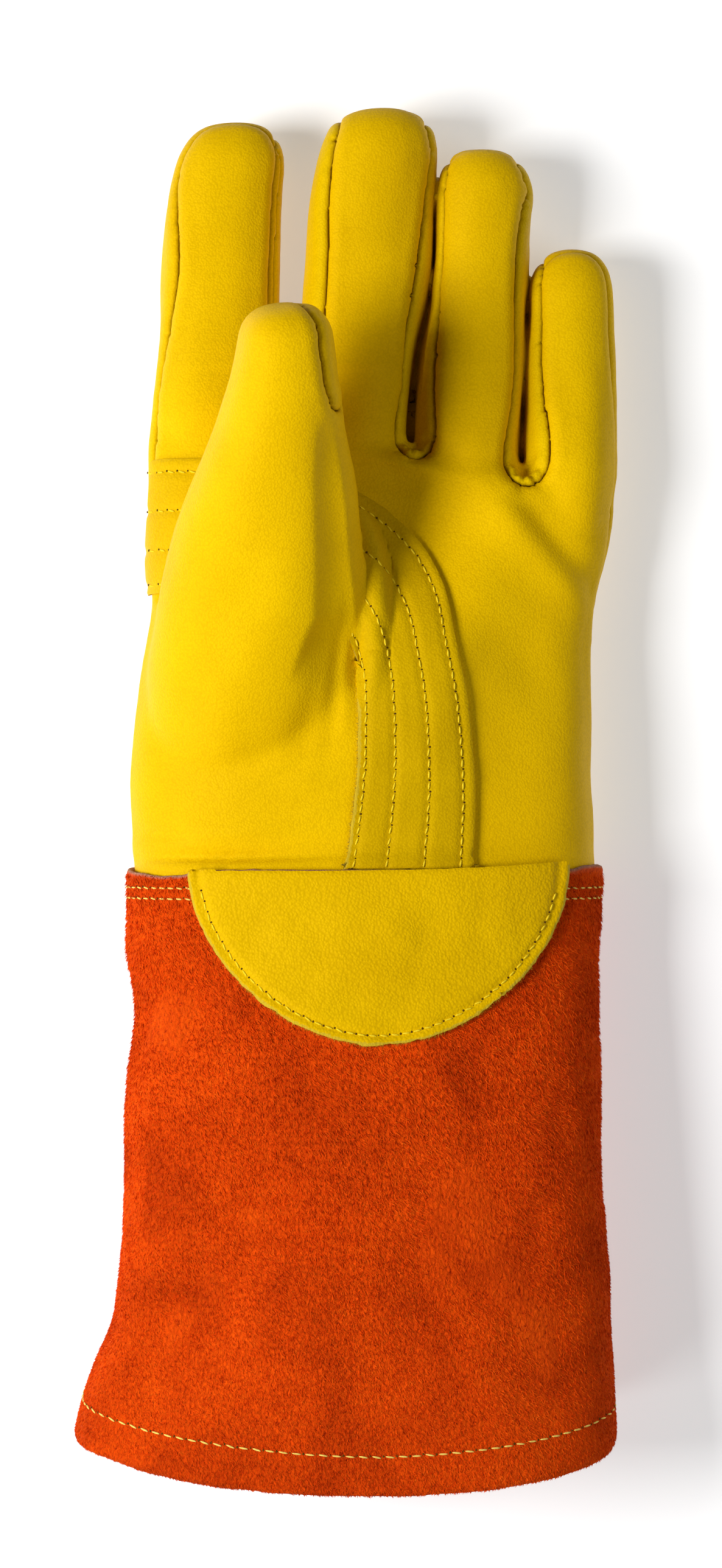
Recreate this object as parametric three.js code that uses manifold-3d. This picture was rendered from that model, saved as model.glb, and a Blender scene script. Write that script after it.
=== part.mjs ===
// A left-hand leather protector glove that lies on its back with the palm up.
// The hand is grain leather: a palm panel, a back panel, three fourchettes between the fingers and a
// thumb of two panels, whose front one is the heel of the hand too. The cuff is suede with a turned-in
// hem. A crescent patch runs round the root of the thumb and down the palm, and a half-moon patch
// covers the wrist seam on the palm side.
// Lengths are millimetres. x points to the little finger, y to the fingertips and z up. The surface
// that the glove lies on is z = 0. The finished glove has y = 0 at its wrist stitching, and the forms
// are worked out from the raw edge of the cuff above it.
import * as THREE from "three";
import { mergeVertices } from "three/addons/utils/BufferGeometryUtils.js";
import Module from "manifold-3d";

const wasm = await Module();
wasm.setup();

// Driving dimensions of the leather
const leather = 1.7; // wall of the hand
const suede = 2.0; // wall of the cuff
const patchLeather = 1.5; // wall of the two patches
const seamGap = 0.3; // between pieces that are sewn together
const thumbClearance = 0.4; // round the thumb, where it lies on a fourchette

// Driving dimensions of the hand
const palmLength = 110; // wrist edge of the cuff to the middle of the line of finger forks
const palmThickness = 37;
const forkSlant = -10; // degrees that the line of forks drops towards the little finger
const fingerGap = 0.9; // between two fingers at their roots
const indexWidth = 35.2;
const indexLength = 74;
const middleWidth = 30.6;
const middleLength = 83;
const ringWidth = 27.6;
const ringLength = 78;
const littleWidth = 24;
const littleLength = 57;
const fingerThickness = 25;
const tipLength = 10.5; // the rounded end of a finger

// Driving dimensions of the thumb
const thumbLength = 107;
const thumbWidth = 56; // across its root
const thumbThickness = 38; // through its root
const thumbRise = 40; // how far its tip stands above its root

// Driving dimensions of the cuff and the patches
const cuffLength = 149; // wrist edge to hem
const cuffThickness = 58; // at the hem, where the cuff stands open
const wristTuck = 12; // how far the hand reaches into the cuff
const wristEdge = 6; // from the wrist stitching to the raw edge of the cuff
const hemTurn = 9; // width of the turned-in hem
const hemTilt = 8.3; // degrees that the hem leans out on the palm side
const halfMoonWidth = 97;
const halfMoonDepth = 45;

const fingers = [
  { name: "index", width: indexWidth, length: indexLength, lift: 0.12 },
  { name: "middle", width: middleWidth, length: middleLength, lift: 0.22 },
  { name: "ring", width: ringWidth, length: ringLength, lift: 0.18 },
  { name: "little", width: littleWidth, length: littleLength, lift: 0.1 },
];
const knuckleWidth = fingers.reduce((sum, f) => sum + f.width + fingerGap, -fingerGap);
const halfHand = knuckleWidth / 2;
const knuckleShift = 0.078 * halfHand; // the fingers sit a little towards the little finger's side
let nextLeft = knuckleShift - halfHand;
for (const finger of fingers) {
  finger.root = nextLeft + finger.width / 2;
  nextLeft += finger.width + fingerGap;
}

// Palm sections: at is a share of palmLength, left and right of halfHand, thick of palmThickness
const palmRows = [
  { at: 0.08, left: 1.0, right: 0.977, thick: 1.0 },
  { at: 0.2, left: 1.007, right: 0.962, thick: 1.02 },
  { at: 0.32, left: 0.993, right: 0.96, thick: 1.02 },
  { at: 0.43, left: 0.97, right: 0.962, thick: 1.0 },
  { at: 0.53, left: 0.938, right: 0.967, thick: 0.98 },
  { at: 0.61, left: 0.922, right: 0.983, thick: 0.96 },
  { at: 0.69, left: 0.927, right: 1.007, thick: 0.93 },
  { at: 0.77, left: 0.934, right: 1.032, thick: 0.89 },
  { at: 0.85, left: 0.934, right: 1.05, thick: 0.85 },
  { at: 0.92, left: 0.93, right: 1.062, thick: 0.8 },
  { at: 0.97, left: 0.922, right: 1.068, thick: 0.76 },
];

// Cuff sections: at is a share of cuffLength below the wrist, thick of cuffThickness
const cuffRows = [
  { at: 0.0, left: 1.014, right: 1.012, thick: 0.7 },
  { at: 0.07, left: 1.012, right: 0.998, thick: 0.705 },
  { at: 0.15, left: 0.99, right: 0.988, thick: 0.72 },
  { at: 0.24, left: 0.987, right: 0.99, thick: 0.745 },
  { at: 0.32, left: 1.015, right: 0.994, thick: 0.77 },
  { at: 0.42, left: 1.025, right: 0.998, thick: 0.8 },
  { at: 0.54, left: 1.022, right: 1.002, thick: 0.835 },
  { at: 0.64, left: 1.036, right: 1.016, thick: 0.865 },
  { at: 0.73, left: 1.054, right: 1.024, thick: 0.895 },
  { at: 0.8, left: 1.098, right: 1.028, thick: 0.925 },
  { at: 0.87, left: 1.168, right: 1.04, thick: 0.955 },
  { at: 0.93, left: 1.215, right: 1.05, thick: 0.98 },
  { at: 1.0, left: 1.233, right: 1.058, thick: 1.0 },
];

// Thumb sections along its middle line: x is a share of halfHand, y and z are shares of thumbLength
// and thumbRise from its root, wide of thumbWidth and thick of thumbThickness
const thumbRootY = 0.21 * palmLength;
const thumbRootZ = 0.48 * palmThickness;
const thumbRows = [
  { x: -0.5, y: 0.0, z: 0.0, wide: 0.88, thick: 0.82 },
  { x: -0.5, y: 0.13, z: 0.05, wide: 0.94, thick: 0.93 },
  { x: -0.488, y: 0.24, z: 0.14, wide: 0.95, thick: 0.95 },
  { x: -0.454, y: 0.36, z: 0.25, wide: 0.95, thick: 0.92 },
  { x: -0.428, y: 0.47, z: 0.4, wide: 0.92, thick: 0.87 },
  { x: -0.41, y: 0.58, z: 0.55, wide: 0.83, thick: 0.81 },
  { x: -0.384, y: 0.69, z: 0.7, wide: 0.718, thick: 0.75 },
  { x: -0.358, y: 0.8, z: 0.825, wide: 0.59, thick: 0.69 },
  { x: -0.338, y: 0.9, z: 0.94, wide: 0.495, thick: 0.63 },
  { x: -0.33, y: 1.0, z: 1.0, wide: 0.42, thick: 0.58 },
];

// The fingers: at is a share of the finger's length. Each finger's pair holds its breadth and how far
// its middle line lies from its root, both as shares of its width
const fingerRows = [
  { at: 0.0, index: [1.0, 0.0], middle: [1.0, 0.0], ring: [1.0, 0.0], little: [1.0, 0.0] },
  { at: 0.25, index: [0.88, -0.01], middle: [0.98, 0.05], ring: [0.94, 0.07], little: [1.0, 0.0] },
  { at: 0.5, index: [0.87, 0.0], middle: [1.09, 0.15], ring: [0.87, 0.14], little: [0.96, 0.01] },
  { at: 0.75, index: [0.83, 0.04], middle: [1.06, 0.18], ring: [0.85, 0.18], little: [0.93, 0.015] },
  { at: 0.87, index: [0.8, 0.08], middle: [1.0, 0.21], ring: [0.84, 0.17], little: [0.9, 0.02] },
  { at: 1.0, index: [0.78, 0.11], middle: [0.96, 0.24], ring: [0.82, 0.13], little: [0.88, 0.025] },
];

// Seams along the front and the back of the fingers, each pair as shares of the finger's width in
// from its left and its right edge. The little finger has none on its right edge
const seamRows = [
  { at: 0.0, index: [0.04, 0.09], middle: [0.18, 0.07], ring: [0.15, 0.165], little: [0.27, 0] },
  { at: 0.25, index: [0.07, 0.05], middle: [0.19, 0.07], ring: [0.08, 0.1], little: [0.2, 0] },
  { at: 0.5, index: [0.13, 0.04], middle: [0.19, 0.12], ring: [0.03, 0.1], little: [0.13, 0] },
  { at: 0.75, index: [0.06, 0.04], middle: [0.16, 0.06], ring: [0.03, 0.11], little: [0.11, 0] },
  { at: 0.87, index: [0.04, 0.04], middle: [0.13, 0.05], ring: [0.04, 0.07], little: [0.09, 0] },
];

// The crescent patch from the wrist round the thumb to the side of the hand, its outer and its inner
// edge: x as shares of halfHand and y of palmLength
const crescentRows = [
  { outerX: 0.446, outerY: 0.0, innerX: -0.085, innerY: 0.0 },
  { outerX: 0.454, outerY: 0.18, innerX: -0.04, innerY: 0.2 },
  { outerX: 0.424, outerY: 0.38, innerX: -0.027, innerY: 0.37 },
  { outerX: 0.372, outerY: 0.53, innerX: -0.04, innerY: 0.47 },
  { outerX: 0.326, outerY: 0.655, innerX: -0.1, innerY: 0.55 },
  { outerX: 0.21, outerY: 0.765, innerX: -0.21, innerY: 0.61 },
  { outerX: -0.03, outerY: 0.865, innerX: -0.43, innerY: 0.64 },
  { outerX: -0.41, outerY: 0.935, innerX: -0.7, innerY: 0.64 },
  { outerX: -1.2, outerY: 0.955, innerX: -1.2, innerY: 0.634 },
];

// Dents and folds: x is a share of halfHand, y of palmLength, reach and stretch of palmThickness, turn
// in degrees and deep a share of fingerThickness. Those of the cuff count y down from the wrist
const palmDents = [
  { x: 0.24, y: 0.83, reach: 0.5, stretch: 1.0, turn: -30, deep: 0.17 },
  { x: 0.06, y: 0.66, reach: 0.5, stretch: 0.9, turn: 55, deep: 0.1 },
  { x: 0.8, y: 0.77, reach: 0.14, stretch: 0.7, turn: -52, deep: 0.07 },
  { x: 0.6, y: 0.84, reach: 0.25, stretch: 0.7, turn: -48, deep: -0.05 },
  { x: 0.66, y: 0.4, reach: 0.35, stretch: 1.1, turn: 80, deep: 0.06 },
];
const cuffDents = [
  { x: -0.78, y: -0.3, reach: 0.28, stretch: 0.9, turn: 35, deep: 0.12 },
  { x: -0.6, y: -0.98, reach: 0.4, stretch: 1.0, turn: 62, deep: 0.08 },
  { x: 0.35, y: -0.75, reach: 0.5, stretch: 1.6, turn: 84, deep: 0.07 },
  { x: 0.8, y: -1.1, reach: 0.3, stretch: 1.0, turn: 100, deep: 0.08 },
];

const mix = THREE.MathUtils.lerp;
const smooth = THREE.MathUtils.smoothstep;
const radians = THREE.MathUtils.degToRad;

// The value of a column of a table at a place between its rows
function read(rows, column, at) {
  const next = rows.findIndex((row) => row.at >= at);
  if (next === -1) return rows.at(-1)[column];
  if (next === 0) return rows[0][column];
  const [a, b] = [rows[next - 1], rows[next]];
  const share = (at - a.at) / (b.at - a.at);
  if (Array.isArray(a[column])) return a[column].map((value, i) => mix(value, b[column][i], share));
  return mix(a[column], b[column], share);
}

// A closed skin through rings of equally many points, from the hem towards the fingertips
function skin(rings) {
  const around = rings[0].length;
  const middle = (ring) => ring.reduce((sum, p) => sum.add(p), new THREE.Vector3()).divideScalar(around);
  const points = [...rings.flat(), middle(rings[0]), middle(rings.at(-1))];
  const [first, last] = [points.length - 2, points.length - 1];
  const end = (rings.length - 1) * around;
  const faces = [];
  for (let i = 0; i < around; i++) {
    const j = (i + 1) % around;
    for (let row = 0; row < end; row += around) {
      faces.push(row + i, row + around + j, row + j, row + i, row + around + i, row + around + j);
    }
    faces.push(first, i, j, last, end + j, end + i);
  }
  return new THREE.BufferGeometry().setFromPoints(points).setIndex(faces);
}

function solid(geometry) {
  const plain = geometry.clone();
  plain.deleteAttribute("normal");
  plain.deleteAttribute("uv");
  const merged = mergeVertices(plain, 1e-4);
  return new wasm.Manifold(
    new wasm.Mesh({
      numProp: 3,
      vertProperties: merged.attributes.position.array,
      triVerts: new Uint32Array(merged.index.array),
    }),
  );
}

// A cross-section with an arched top and round corners down to a flat foot, as points of x and z
function section({ left, right, foot, top, flat, steps }) {
  const arch = 2.5;
  const corner = Math.round(steps / 5);
  const centre = (left + right) / 2;
  const half = (right - left) / 2;
  const side = mix(foot, top, 0.42);
  const points = [];
  for (let i = 0; i < steps; i++) {
    const angle = (Math.PI * i) / steps;
    const across = Math.sign(Math.cos(angle)) * Math.abs(Math.cos(angle)) ** (2 / arch);
    points.push([centre + half * across, side + (top - side) * Math.sin(angle) ** (2 / arch)]);
  }
  const round = (edge, sign, i) => {
    const angle = (Math.PI / 2) * (i / corner);
    points.push([edge + sign * half * (1 - flat) * (1 - Math.cos(angle)), mix(side, foot, Math.sin(angle))]);
  };
  for (let i = 0; i <= corner; i++) round(left, 1, i);
  for (let i = corner; i > 0; i--) round(right, -1, i);
  return points;
}

// How far a table's dents press the leather in at a place
function dentAt(dents, x, y) {
  let deep = 0;
  for (const dent of dents) {
    const turn = radians(dent.turn);
    const [dx, dy] = [x - dent.x * halfHand, y - dent.y * palmLength];
    const along = (dx * Math.cos(turn) + dy * Math.sin(turn)) / (dent.stretch * palmThickness);
    const over = (dy * Math.cos(turn) - dx * Math.sin(turn)) / (dent.reach * palmThickness);
    deep += dent.deep * fingerThickness * Math.exp(-along * along - over * over);
  }
  return deep;
}

// A section's points as a ring in space, with the dents pressed into its upper half
function pressedRing(ring, y, slant, dents) {
  return section(ring).map(([x, z]) => {
    const place = y + slant * (x - knuckleShift);
    const share = smooth(z, mix(ring.foot, ring.top, 0.45), ring.top);
    return new THREE.Vector3(x, place, z - share * dentAt(dents, x, place));
  });
}

// The cuff's section at a distance below the wrist, grown outwards by a distance
function cuffSection(below, grow) {
  const at = below / cuffLength;
  return {
    left: -read(cuffRows, "left", at) * halfHand - grow,
    right: read(cuffRows, "right", at) * halfHand + grow,
    foot: -grow,
    top: read(cuffRows, "thick", at) * cuffThickness + grow,
    flat: 0.5,
    steps: 18,
  };
}

// The palm as a closed form, which tucks into the cuff and ends in the rounded line of forks
function palmForm(grow) {
  const steps = grow < 0 ? 12 : 18;
  const tuck = wristTuck + (grow < 0 ? leather : 0);
  const inCuff = [-tuck, seamGap].map((y) =>
    pressedRing({ ...cuffSection(-y, grow - suede - seamGap), steps }, y, 0, cuffDents),
  );
  const slope = Math.tan(radians(forkSlant));
  const shape = (row) => ({
    left: -row.left * halfHand - grow,
    right: row.right * halfHand + grow,
    foot: -grow,
    top: row.thick * palmThickness + grow,
    flat: 0.5,
    steps,
  });
  const rings = palmRows.map((row) => {
    const slant = slope * smooth(row.at, 0.6, 0.92);
    return pressedRing(shape(row), row.at * palmLength, slant, palmDents);
  });
  const last = palmRows.at(-1);
  const reach = (1 - last.at) * palmLength + grow;
  for (const turn of [40, 75]) {
    const whole = shape(last);
    const inset = (1 - Math.cos(radians(turn))) * 0.4 * (whole.top - whole.foot);
    const ring = { ...whole, foot: whole.foot + inset, top: whole.top - inset };
    ring.left += inset * 0.4;
    ring.right -= inset * 0.4;
    rings.push(pressedRing(ring, last.at * palmLength + reach * Math.sin(radians(turn)), slope, palmDents));
  }
  return skin([...inCuff, ...rings]);
}

// Where a finger's middle line is at a share of its length
function fingerLine(finger, at) {
  const start = palmLength + Math.tan(radians(forkSlant)) * (finger.root - knuckleShift);
  const [wide, shift] = read(fingerRows, finger.name, at);
  return {
    x: finger.root + shift * finger.width,
    y: start + at * finger.length,
    half: (wide * finger.width) / 2,
  };
}

// A finger as a closed form from inside the palm to its rounded tip
function fingerForm(finger, grow) {
  const tipStart = 1 - tipLength / finger.length;
  const rings = [-0.25, 0, 0.25, 0.5, 0.75, tipStart].map((at) => ({ at, shrink: 1 }));
  const reach = (tipLength + grow) / finger.length;
  for (const turn of [30, 56, 78]) {
    rings.push({ at: tipStart + reach * Math.sin(radians(turn)), shrink: Math.cos(radians(turn)) ** 0.85 });
  }
  return skin(
    rings.map(({ at, shrink }) => {
      const line = fingerLine(finger, at);
      const buried = at < 0 ? 0.4 * finger.width * -at : 0;
      const thick = mix(0.74 * palmThickness, fingerThickness * mix(1, 0.86, at), smooth(at, -0.2, 0.4));
      const middle = finger.lift * fingerThickness * Math.max(at, 0) ** 2 + thick / 2;
      const half = (line.half - buried + grow) * shrink;
      const deep = (thick / 2 - buried + grow) * shrink;
      const ring = { left: line.x - half, right: line.x + half, foot: middle - deep, top: middle + deep };
      return section({ ...ring, flat: 0.35, steps: 11 }).map(
        ([x, z]) => new THREE.Vector3(x, line.y, z),
      );
    }),
  );
}

// The thumb as a closed form from inside its heel to its tip
function thumbForm(grow) {
  const place = (row) =>
    new THREE.Vector3(row.x * halfHand, thumbRootY + row.y * thumbLength, thumbRootZ + row.z * thumbRise);
  const line = new THREE.CatmullRomCurve3(thumbRows.map(place));
  const rings = thumbRows.map((row, i) => ({ t: i / (thumbRows.length - 1), row, shrink: 1, past: 0 }));
  const tip = rings.at(-1);
  for (const turn of [30, 56, 78]) {
    const past = (0.85 * tipLength + grow) * Math.sin(radians(turn));
    rings.push({ ...tip, shrink: Math.cos(radians(turn)) ** 0.85, past });
  }
  return skin(
    rings.map(({ t, row, shrink, past }) => {
      const ahead = line.getTangent(t);
      const up = new THREE.Vector3(0, -ahead.z, ahead.y).normalize();
      const centre = place(row).addScaledVector(ahead, past);
      const half = ((row.wide * thumbWidth) / 2 + grow) * shrink;
      const deep = ((row.thick * thumbThickness) / 2 + grow) * shrink;
      const ring = { left: -half, right: half, foot: -deep, top: deep, flat: 0.25 };
      return section({ ...ring, steps: grow < 0 ? 9 : 12 }).map(([x, z]) =>
        centre.clone().add(new THREE.Vector3(x, 0, 0)).addScaledVector(up, z),
      );
    }),
  );
}

// The cuff as a closed form between two distances below the wrist, leaning out at the hem
function cuffForm(grow, from, to) {
  const lean = Math.tan(radians(hemTilt));
  const between = cuffRows.map((row) => row.at * cuffLength).filter((y) => y > from + 2 && y < to - 2);
  return skin(
    [to, ...between.reverse(), from].map((below) => {
      const share = smooth(below, cuffLength * 0.5, cuffLength);
      return pressedRing(cuffSection(below, grow), -below, 0, cuffDents).map((p) =>
        p.setY(p.y - share * lean * (p.z - 0.43 * cuffThickness)),
      );
    }),
  );
}

// The space inside an outline of x and y
function prism(outline) {
  const shape = new THREE.Shape(outline.map(([x, y]) => new THREE.Vector2(x, y)));
  const depth = 4 * cuffThickness;
  return solid(
    new THREE.ExtrudeGeometry(shape, { depth, bevelEnabled: false }).translate(0, 0, -cuffThickness),
  );
}

// The space inside an outline of y and z, right across the glove
function slab(outline) {
  const shape = new THREE.Shape(outline.map(([y, z]) => new THREE.Vector2(y, z)));
  const depth = 6 * halfHand;
  const geometry = new THREE.ExtrudeGeometry(shape, { depth, bevelEnabled: false });
  const across = new THREE.Matrix4().makeBasis(
    new THREE.Vector3(0, 1, 0),
    new THREE.Vector3(0, 0, 1),
    new THREE.Vector3(1, 0, 0),
  );
  return solid(geometry.applyMatrix4(across).translate(-depth / 2, 0, 0));
}

// The seam on one side of a finger from its root to its tip, moved towards the finger's side by out
function seamLine(finger, side, out) {
  const sign = side === 0 ? -1 : 1;
  const points = seamRows.map((row) => {
    const line = fingerLine(finger, row.at);
    const inward = Math.max(row[finger.name][side] * finger.width, 2.2 * leather);
    return [line.x + sign * (line.half - inward + out), line.y];
  });
  const tip = fingerLine(finger, 1);
  points.push([tip.x + sign * (tip.half * 0.6 + out), tip.y + tipLength]);
  return points;
}

// The footprint of the fourchette between two fingers: down one seam, round the fork and up the other
function forkOutline(left, right, inset) {
  const down = seamLine(left, 1, inset).reverse();
  const up = seamLine(right, 0, inset);
  const [a, b] = [down.at(-1), up[0]];
  const radius = Math.hypot(b[0] - a[0], b[1] - a[1]) / 2;
  const start = Math.atan2(a[1] - b[1], a[0] - b[0]);
  const round = [];
  for (let i = 1; i < 6; i++) {
    const angle = start + (Math.PI * i) / 6;
    const [x, y] = [(a[0] + b[0]) / 2 + radius * Math.cos(angle), (a[1] + b[1]) / 2 + radius * Math.sin(angle)];
    round.push([x, y]);
  }
  return [...down, ...round, ...up];
}

// A line along the crescent patch, at a share of its breadth in from its outer edge
function crescentLine(share) {
  return crescentRows.map((row) => [
    mix(row.outerX, row.innerX, share) * halfHand,
    mix(row.outerY, row.innerY, share) * palmLength,
  ]);
}

const far = 4 * palmLength;
const frontHeight = 0.42 * palmThickness; // of the seam between front and back, along the sides

// What lies below the side seam, with the strip of back leather that shows beside the index finger
function backSpace(drop) {
  const tipHeight = frontHeight + 0.1 * fingerThickness;
  const below = slab([
    [-far, -far],
    [far, -far],
    [far, tipHeight - drop],
    [palmLength * 1.2, tipHeight - drop],
    [palmLength, frontHeight - drop],
    [-far, frontHeight - drop],
  ]);
  const seam = seamLine(fingers[0], 0, drop);
  const start = crescentLine(0.5).at(-1)[1] + seamGap;
  const strip = prism([[-far, start], [seam[0][0], start], ...seam, [-far, far]]);
  return below.add(strip);
}

// The thumb and the heel of the hand below it
function thumbSpace(grow) {
  const seam = crescentLine(0.5);
  const outline = [[-far, -far], [seam[0][0], -far], ...seam];
  outline.push([-far, seam.at(-1)[1]]);
  return solid(thumbForm(grow + seamGap)).add(prism(outline.map(([x, y]) => [x + grow, y])));
}

// What lies under the thumb's side seam, from the fork of thumb and palm to beyond its tip
function thumbBackSpace(drop) {
  const line = thumbRows.slice(4).map((row) => [
    thumbRootY + row.y * thumbLength,
    thumbRootZ + row.z * thumbRise - drop,
  ]);
  const start = line[0][0] - 0.04 * thumbLength;
  return slab([[start, 0], ...line, [far, line.at(-1)[1]], [far, 0]]);
}

const join = (solids) => solids.reduce((all, next) => all.add(next));

function handForm(grow) {
  return join([palmForm(grow), ...fingers.map((f) => fingerForm(f, grow)), thumbForm(grow)].map(solid));
}

// The palm and the fingers without the thumb, which the crescent patch lies on
const palmOnly = (grow) => join([palmForm(grow), ...fingers.map((f) => fingerForm(f, grow))].map(solid));

// The leather wall of the hand, open at the wrist, and the panels that it is cut into
const handWall = handForm(0).subtract(handForm(-leather));
const forks = [0, 1, 2].map((i) => [fingers[i], fingers[i + 1]]);
const forkSpaces = (inset) => forks.map(([left, right]) => prism(forkOutline(left, right, inset)));
const frontWall = handWall.subtract(backSpace(0));
const besideThumb = thumbSpace(thumbClearance);

const fourchettes = forkSpaces(seamGap).map((space) => handWall.intersect(space).subtract(besideThumb));
const openWall = (wall) => wall.subtract(join(forkSpaces(0)));
const backPanel = openWall(handWall.intersect(backSpace(seamGap)));
const palmPanel = openWall(frontWall.subtract(thumbSpace(seamGap)));
const thumbFront = frontWall.intersect(thumbSpace(0)).subtract(thumbBackSpace(0));
const thumbBack = frontWall.intersect(thumbSpace(0)).intersect(thumbBackSpace(seamGap));

// The cuff with its hem turned in
const cuffOuter = solid(cuffForm(0, 0, cuffLength));
const cuffMouth = solid(cuffForm(-2 * suede, -suede, cuffLength + suede));
const cuffRoom = solid(cuffForm(-suede, -suede, cuffLength - hemTurn));
const cuff = cuffOuter.subtract(cuffMouth).subtract(cuffRoom);

// A patch: a skin that lies on a form, cut to an outline on its palm side
function patch(lower, upper, outline) {
  const above = slab([[-far, frontHeight + seamGap], [far, frontHeight + seamGap], [far, far], [-far, far]]);
  return upper.subtract(lower).intersect(prism(outline)).intersect(above);
}

const crescentOutline = [...crescentLine(0), ...crescentLine(1).reverse()].map(([x, y]) => [
  x,
  Math.max(y, seamGap),
]);
const crescent = patch(palmOnly(seamGap), palmOnly(seamGap + patchLeather), crescentOutline)
  .subtract(thumbSpace(0).intersect(solid(thumbForm(2 * seamGap))));

const halfMoonOutline = [];
for (let i = 0; i <= 16; i++) {
  const angle = Math.PI * (i / 16);
  const across = Math.sign(Math.cos(angle)) * Math.abs(Math.cos(angle)) ** 1.08;
  const x = 0.053 * halfHand + (halfMoonWidth / 2) * across;
  halfMoonOutline.push([x, -halfMoonDepth * Math.sin(angle) ** 1.08]);
}
const cuffSkin = (grow) => solid(cuffForm(grow, -suede, cuffLength / 2));
const halfMoon = patch(cuffSkin(seamGap), cuffSkin(seamGap + patchLeather), halfMoonOutline);

// The pieces as a scene graph
const grain = { color: 0xd9b306, roughness: 0.6 };
const nap = { color: 0xc8400c, roughness: 0.95 };
const glove = new THREE.Group();

function place(name, piece, look) {
  const { vertProperties, triVerts } = piece.getMesh();
  const geometry = new THREE.BufferGeometry()
    .setAttribute("position", new THREE.BufferAttribute(vertProperties, 3))
    .setIndex(new THREE.BufferAttribute(triVerts, 1));
  const mesh = new THREE.Mesh(geometry, new THREE.MeshStandardMaterial({ ...look, metalness: 0 }));
  mesh.name = name;
  mesh.position.y = wristEdge;
  glove.add(mesh);
}

place("palm_panel", palmPanel, grain);
place("back_panel", backPanel, grain);
forks.forEach(([left, right], i) => place(`fourchette_${left.name}_${right.name}`, fourchettes[i], grain));
place("thumb_front", thumbFront, grain);
place("thumb_back", thumbBack, grain);
place("palm_patch", crescent, grain);
place("wrist_patch", halfMoon, grain);
place("cuff", cuff, nap);

export default glove;
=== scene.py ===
import math
import random
import bpy
import bmesh
import numpy as np
from mathutils import Matrix, Vector, kdtree, noise
from mathutils.bvhtree import BVHTree


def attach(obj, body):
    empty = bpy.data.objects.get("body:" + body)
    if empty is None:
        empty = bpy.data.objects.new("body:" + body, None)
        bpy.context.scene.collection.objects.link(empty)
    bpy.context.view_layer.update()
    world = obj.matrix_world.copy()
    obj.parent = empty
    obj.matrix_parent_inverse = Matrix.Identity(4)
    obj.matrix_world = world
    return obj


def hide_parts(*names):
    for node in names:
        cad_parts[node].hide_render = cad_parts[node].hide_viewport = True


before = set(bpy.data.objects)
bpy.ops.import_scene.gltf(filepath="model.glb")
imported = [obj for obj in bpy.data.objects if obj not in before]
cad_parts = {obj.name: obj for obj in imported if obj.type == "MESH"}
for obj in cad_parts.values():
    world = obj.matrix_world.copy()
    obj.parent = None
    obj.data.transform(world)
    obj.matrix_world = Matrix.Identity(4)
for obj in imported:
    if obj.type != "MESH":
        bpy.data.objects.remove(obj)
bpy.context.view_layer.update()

# The glove is modelled in millimetres from the raw edge of the cuff at the wrist, palm up, with x
# towards the little finger, y towards the fingertips and z up. toFrame brings a mesh into the frame.
wristEdge = 6.0  # the frame's origin is at the wrist stitching
toFrame = Matrix.Scale(0.001, 4) @ Matrix.Translation((0, wristEdge, 0))

floorGap = 0.02  # how far every piece stays above the floor


def meshOf(bm, name):
    mesh = bpy.data.meshes.new(name)
    bm.to_mesh(mesh)
    bm.free()
    return mesh


def added(name, data):
    made = bpy.data.objects.new(name, data)
    bpy.context.scene.collection.objects.link(made)
    return made


def coordinates(bm):
    return np.array([v.co[:] for v in bm.verts])


def normals(bm):
    bm.normal_update()
    return np.array([v.normal[:] for v in bm.verts])


def moveVerts(bm, places):
    for vert, place in zip(bm.verts, places):
        vert.co = place


def settle(bm, places):  # moves the vertices and keeps them above the floor
    places[:, 2] = np.maximum(places[:, 2], floorGap)
    moveVerts(bm, places)


def relax(bm, times):
    axes = {"use_axis_x": True, "use_axis_y": True, "use_axis_z": True}
    for i in range(times):
        bmesh.ops.smooth_vert(bm, verts=bm.verts, factor=0.5, **axes)


def markVerts(bm, name, values):
    layer = bm.verts.layers.float.new(name)
    for v, value in zip(bm.verts, values):
        v[layer] = float(value)


def smoothStep(value, low, high):
    t = np.clip((value - low) / (high - low), 0, 1)
    return t * t * (3 - 2 * t)


def bell(distance, width):
    return np.exp(-((distance / width) ** 2))


def noiseAt(points, scale, seed):
    shift = Vector((seed * 17.3, seed * 5.1, seed * 9.7))
    return np.array([noise.noise(Vector(p) * scale + shift) for p in points])


# distance in the plan from a line of points
def lineDistance(points, line):
    x, y = points[:, 0], points[:, 1]
    nearest = np.full(len(points), 1e9)
    for (ax, ay), (bx, by) in zip(line, line[1:]):
        dx, dy = bx - ax, by - ay
        t = np.clip(((x - ax) * dx + (y - ay) * dy) / max(dx * dx + dy * dy, 1e-9), 0, 1)
        nearest = np.minimum(nearest, np.hypot(x - ax - t * dx, y - ay - t * dy))
    return nearest


# camera, floor and light
view = {"distance": 900, "plane": 20, "middle": (-1.25, 21.4), "frameHeight": 402.6, "sensor": 36}
light = {
    "key": ((-690, 0, 680), 380, 10.4),  # place, size and watts
    "low": ((-560, -560, 580), 330, 2.0),
    "fill": ((650, 0, 720), 600, 2.7),
    "world": 0.02,
    "floor": 0.38,
}


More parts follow.
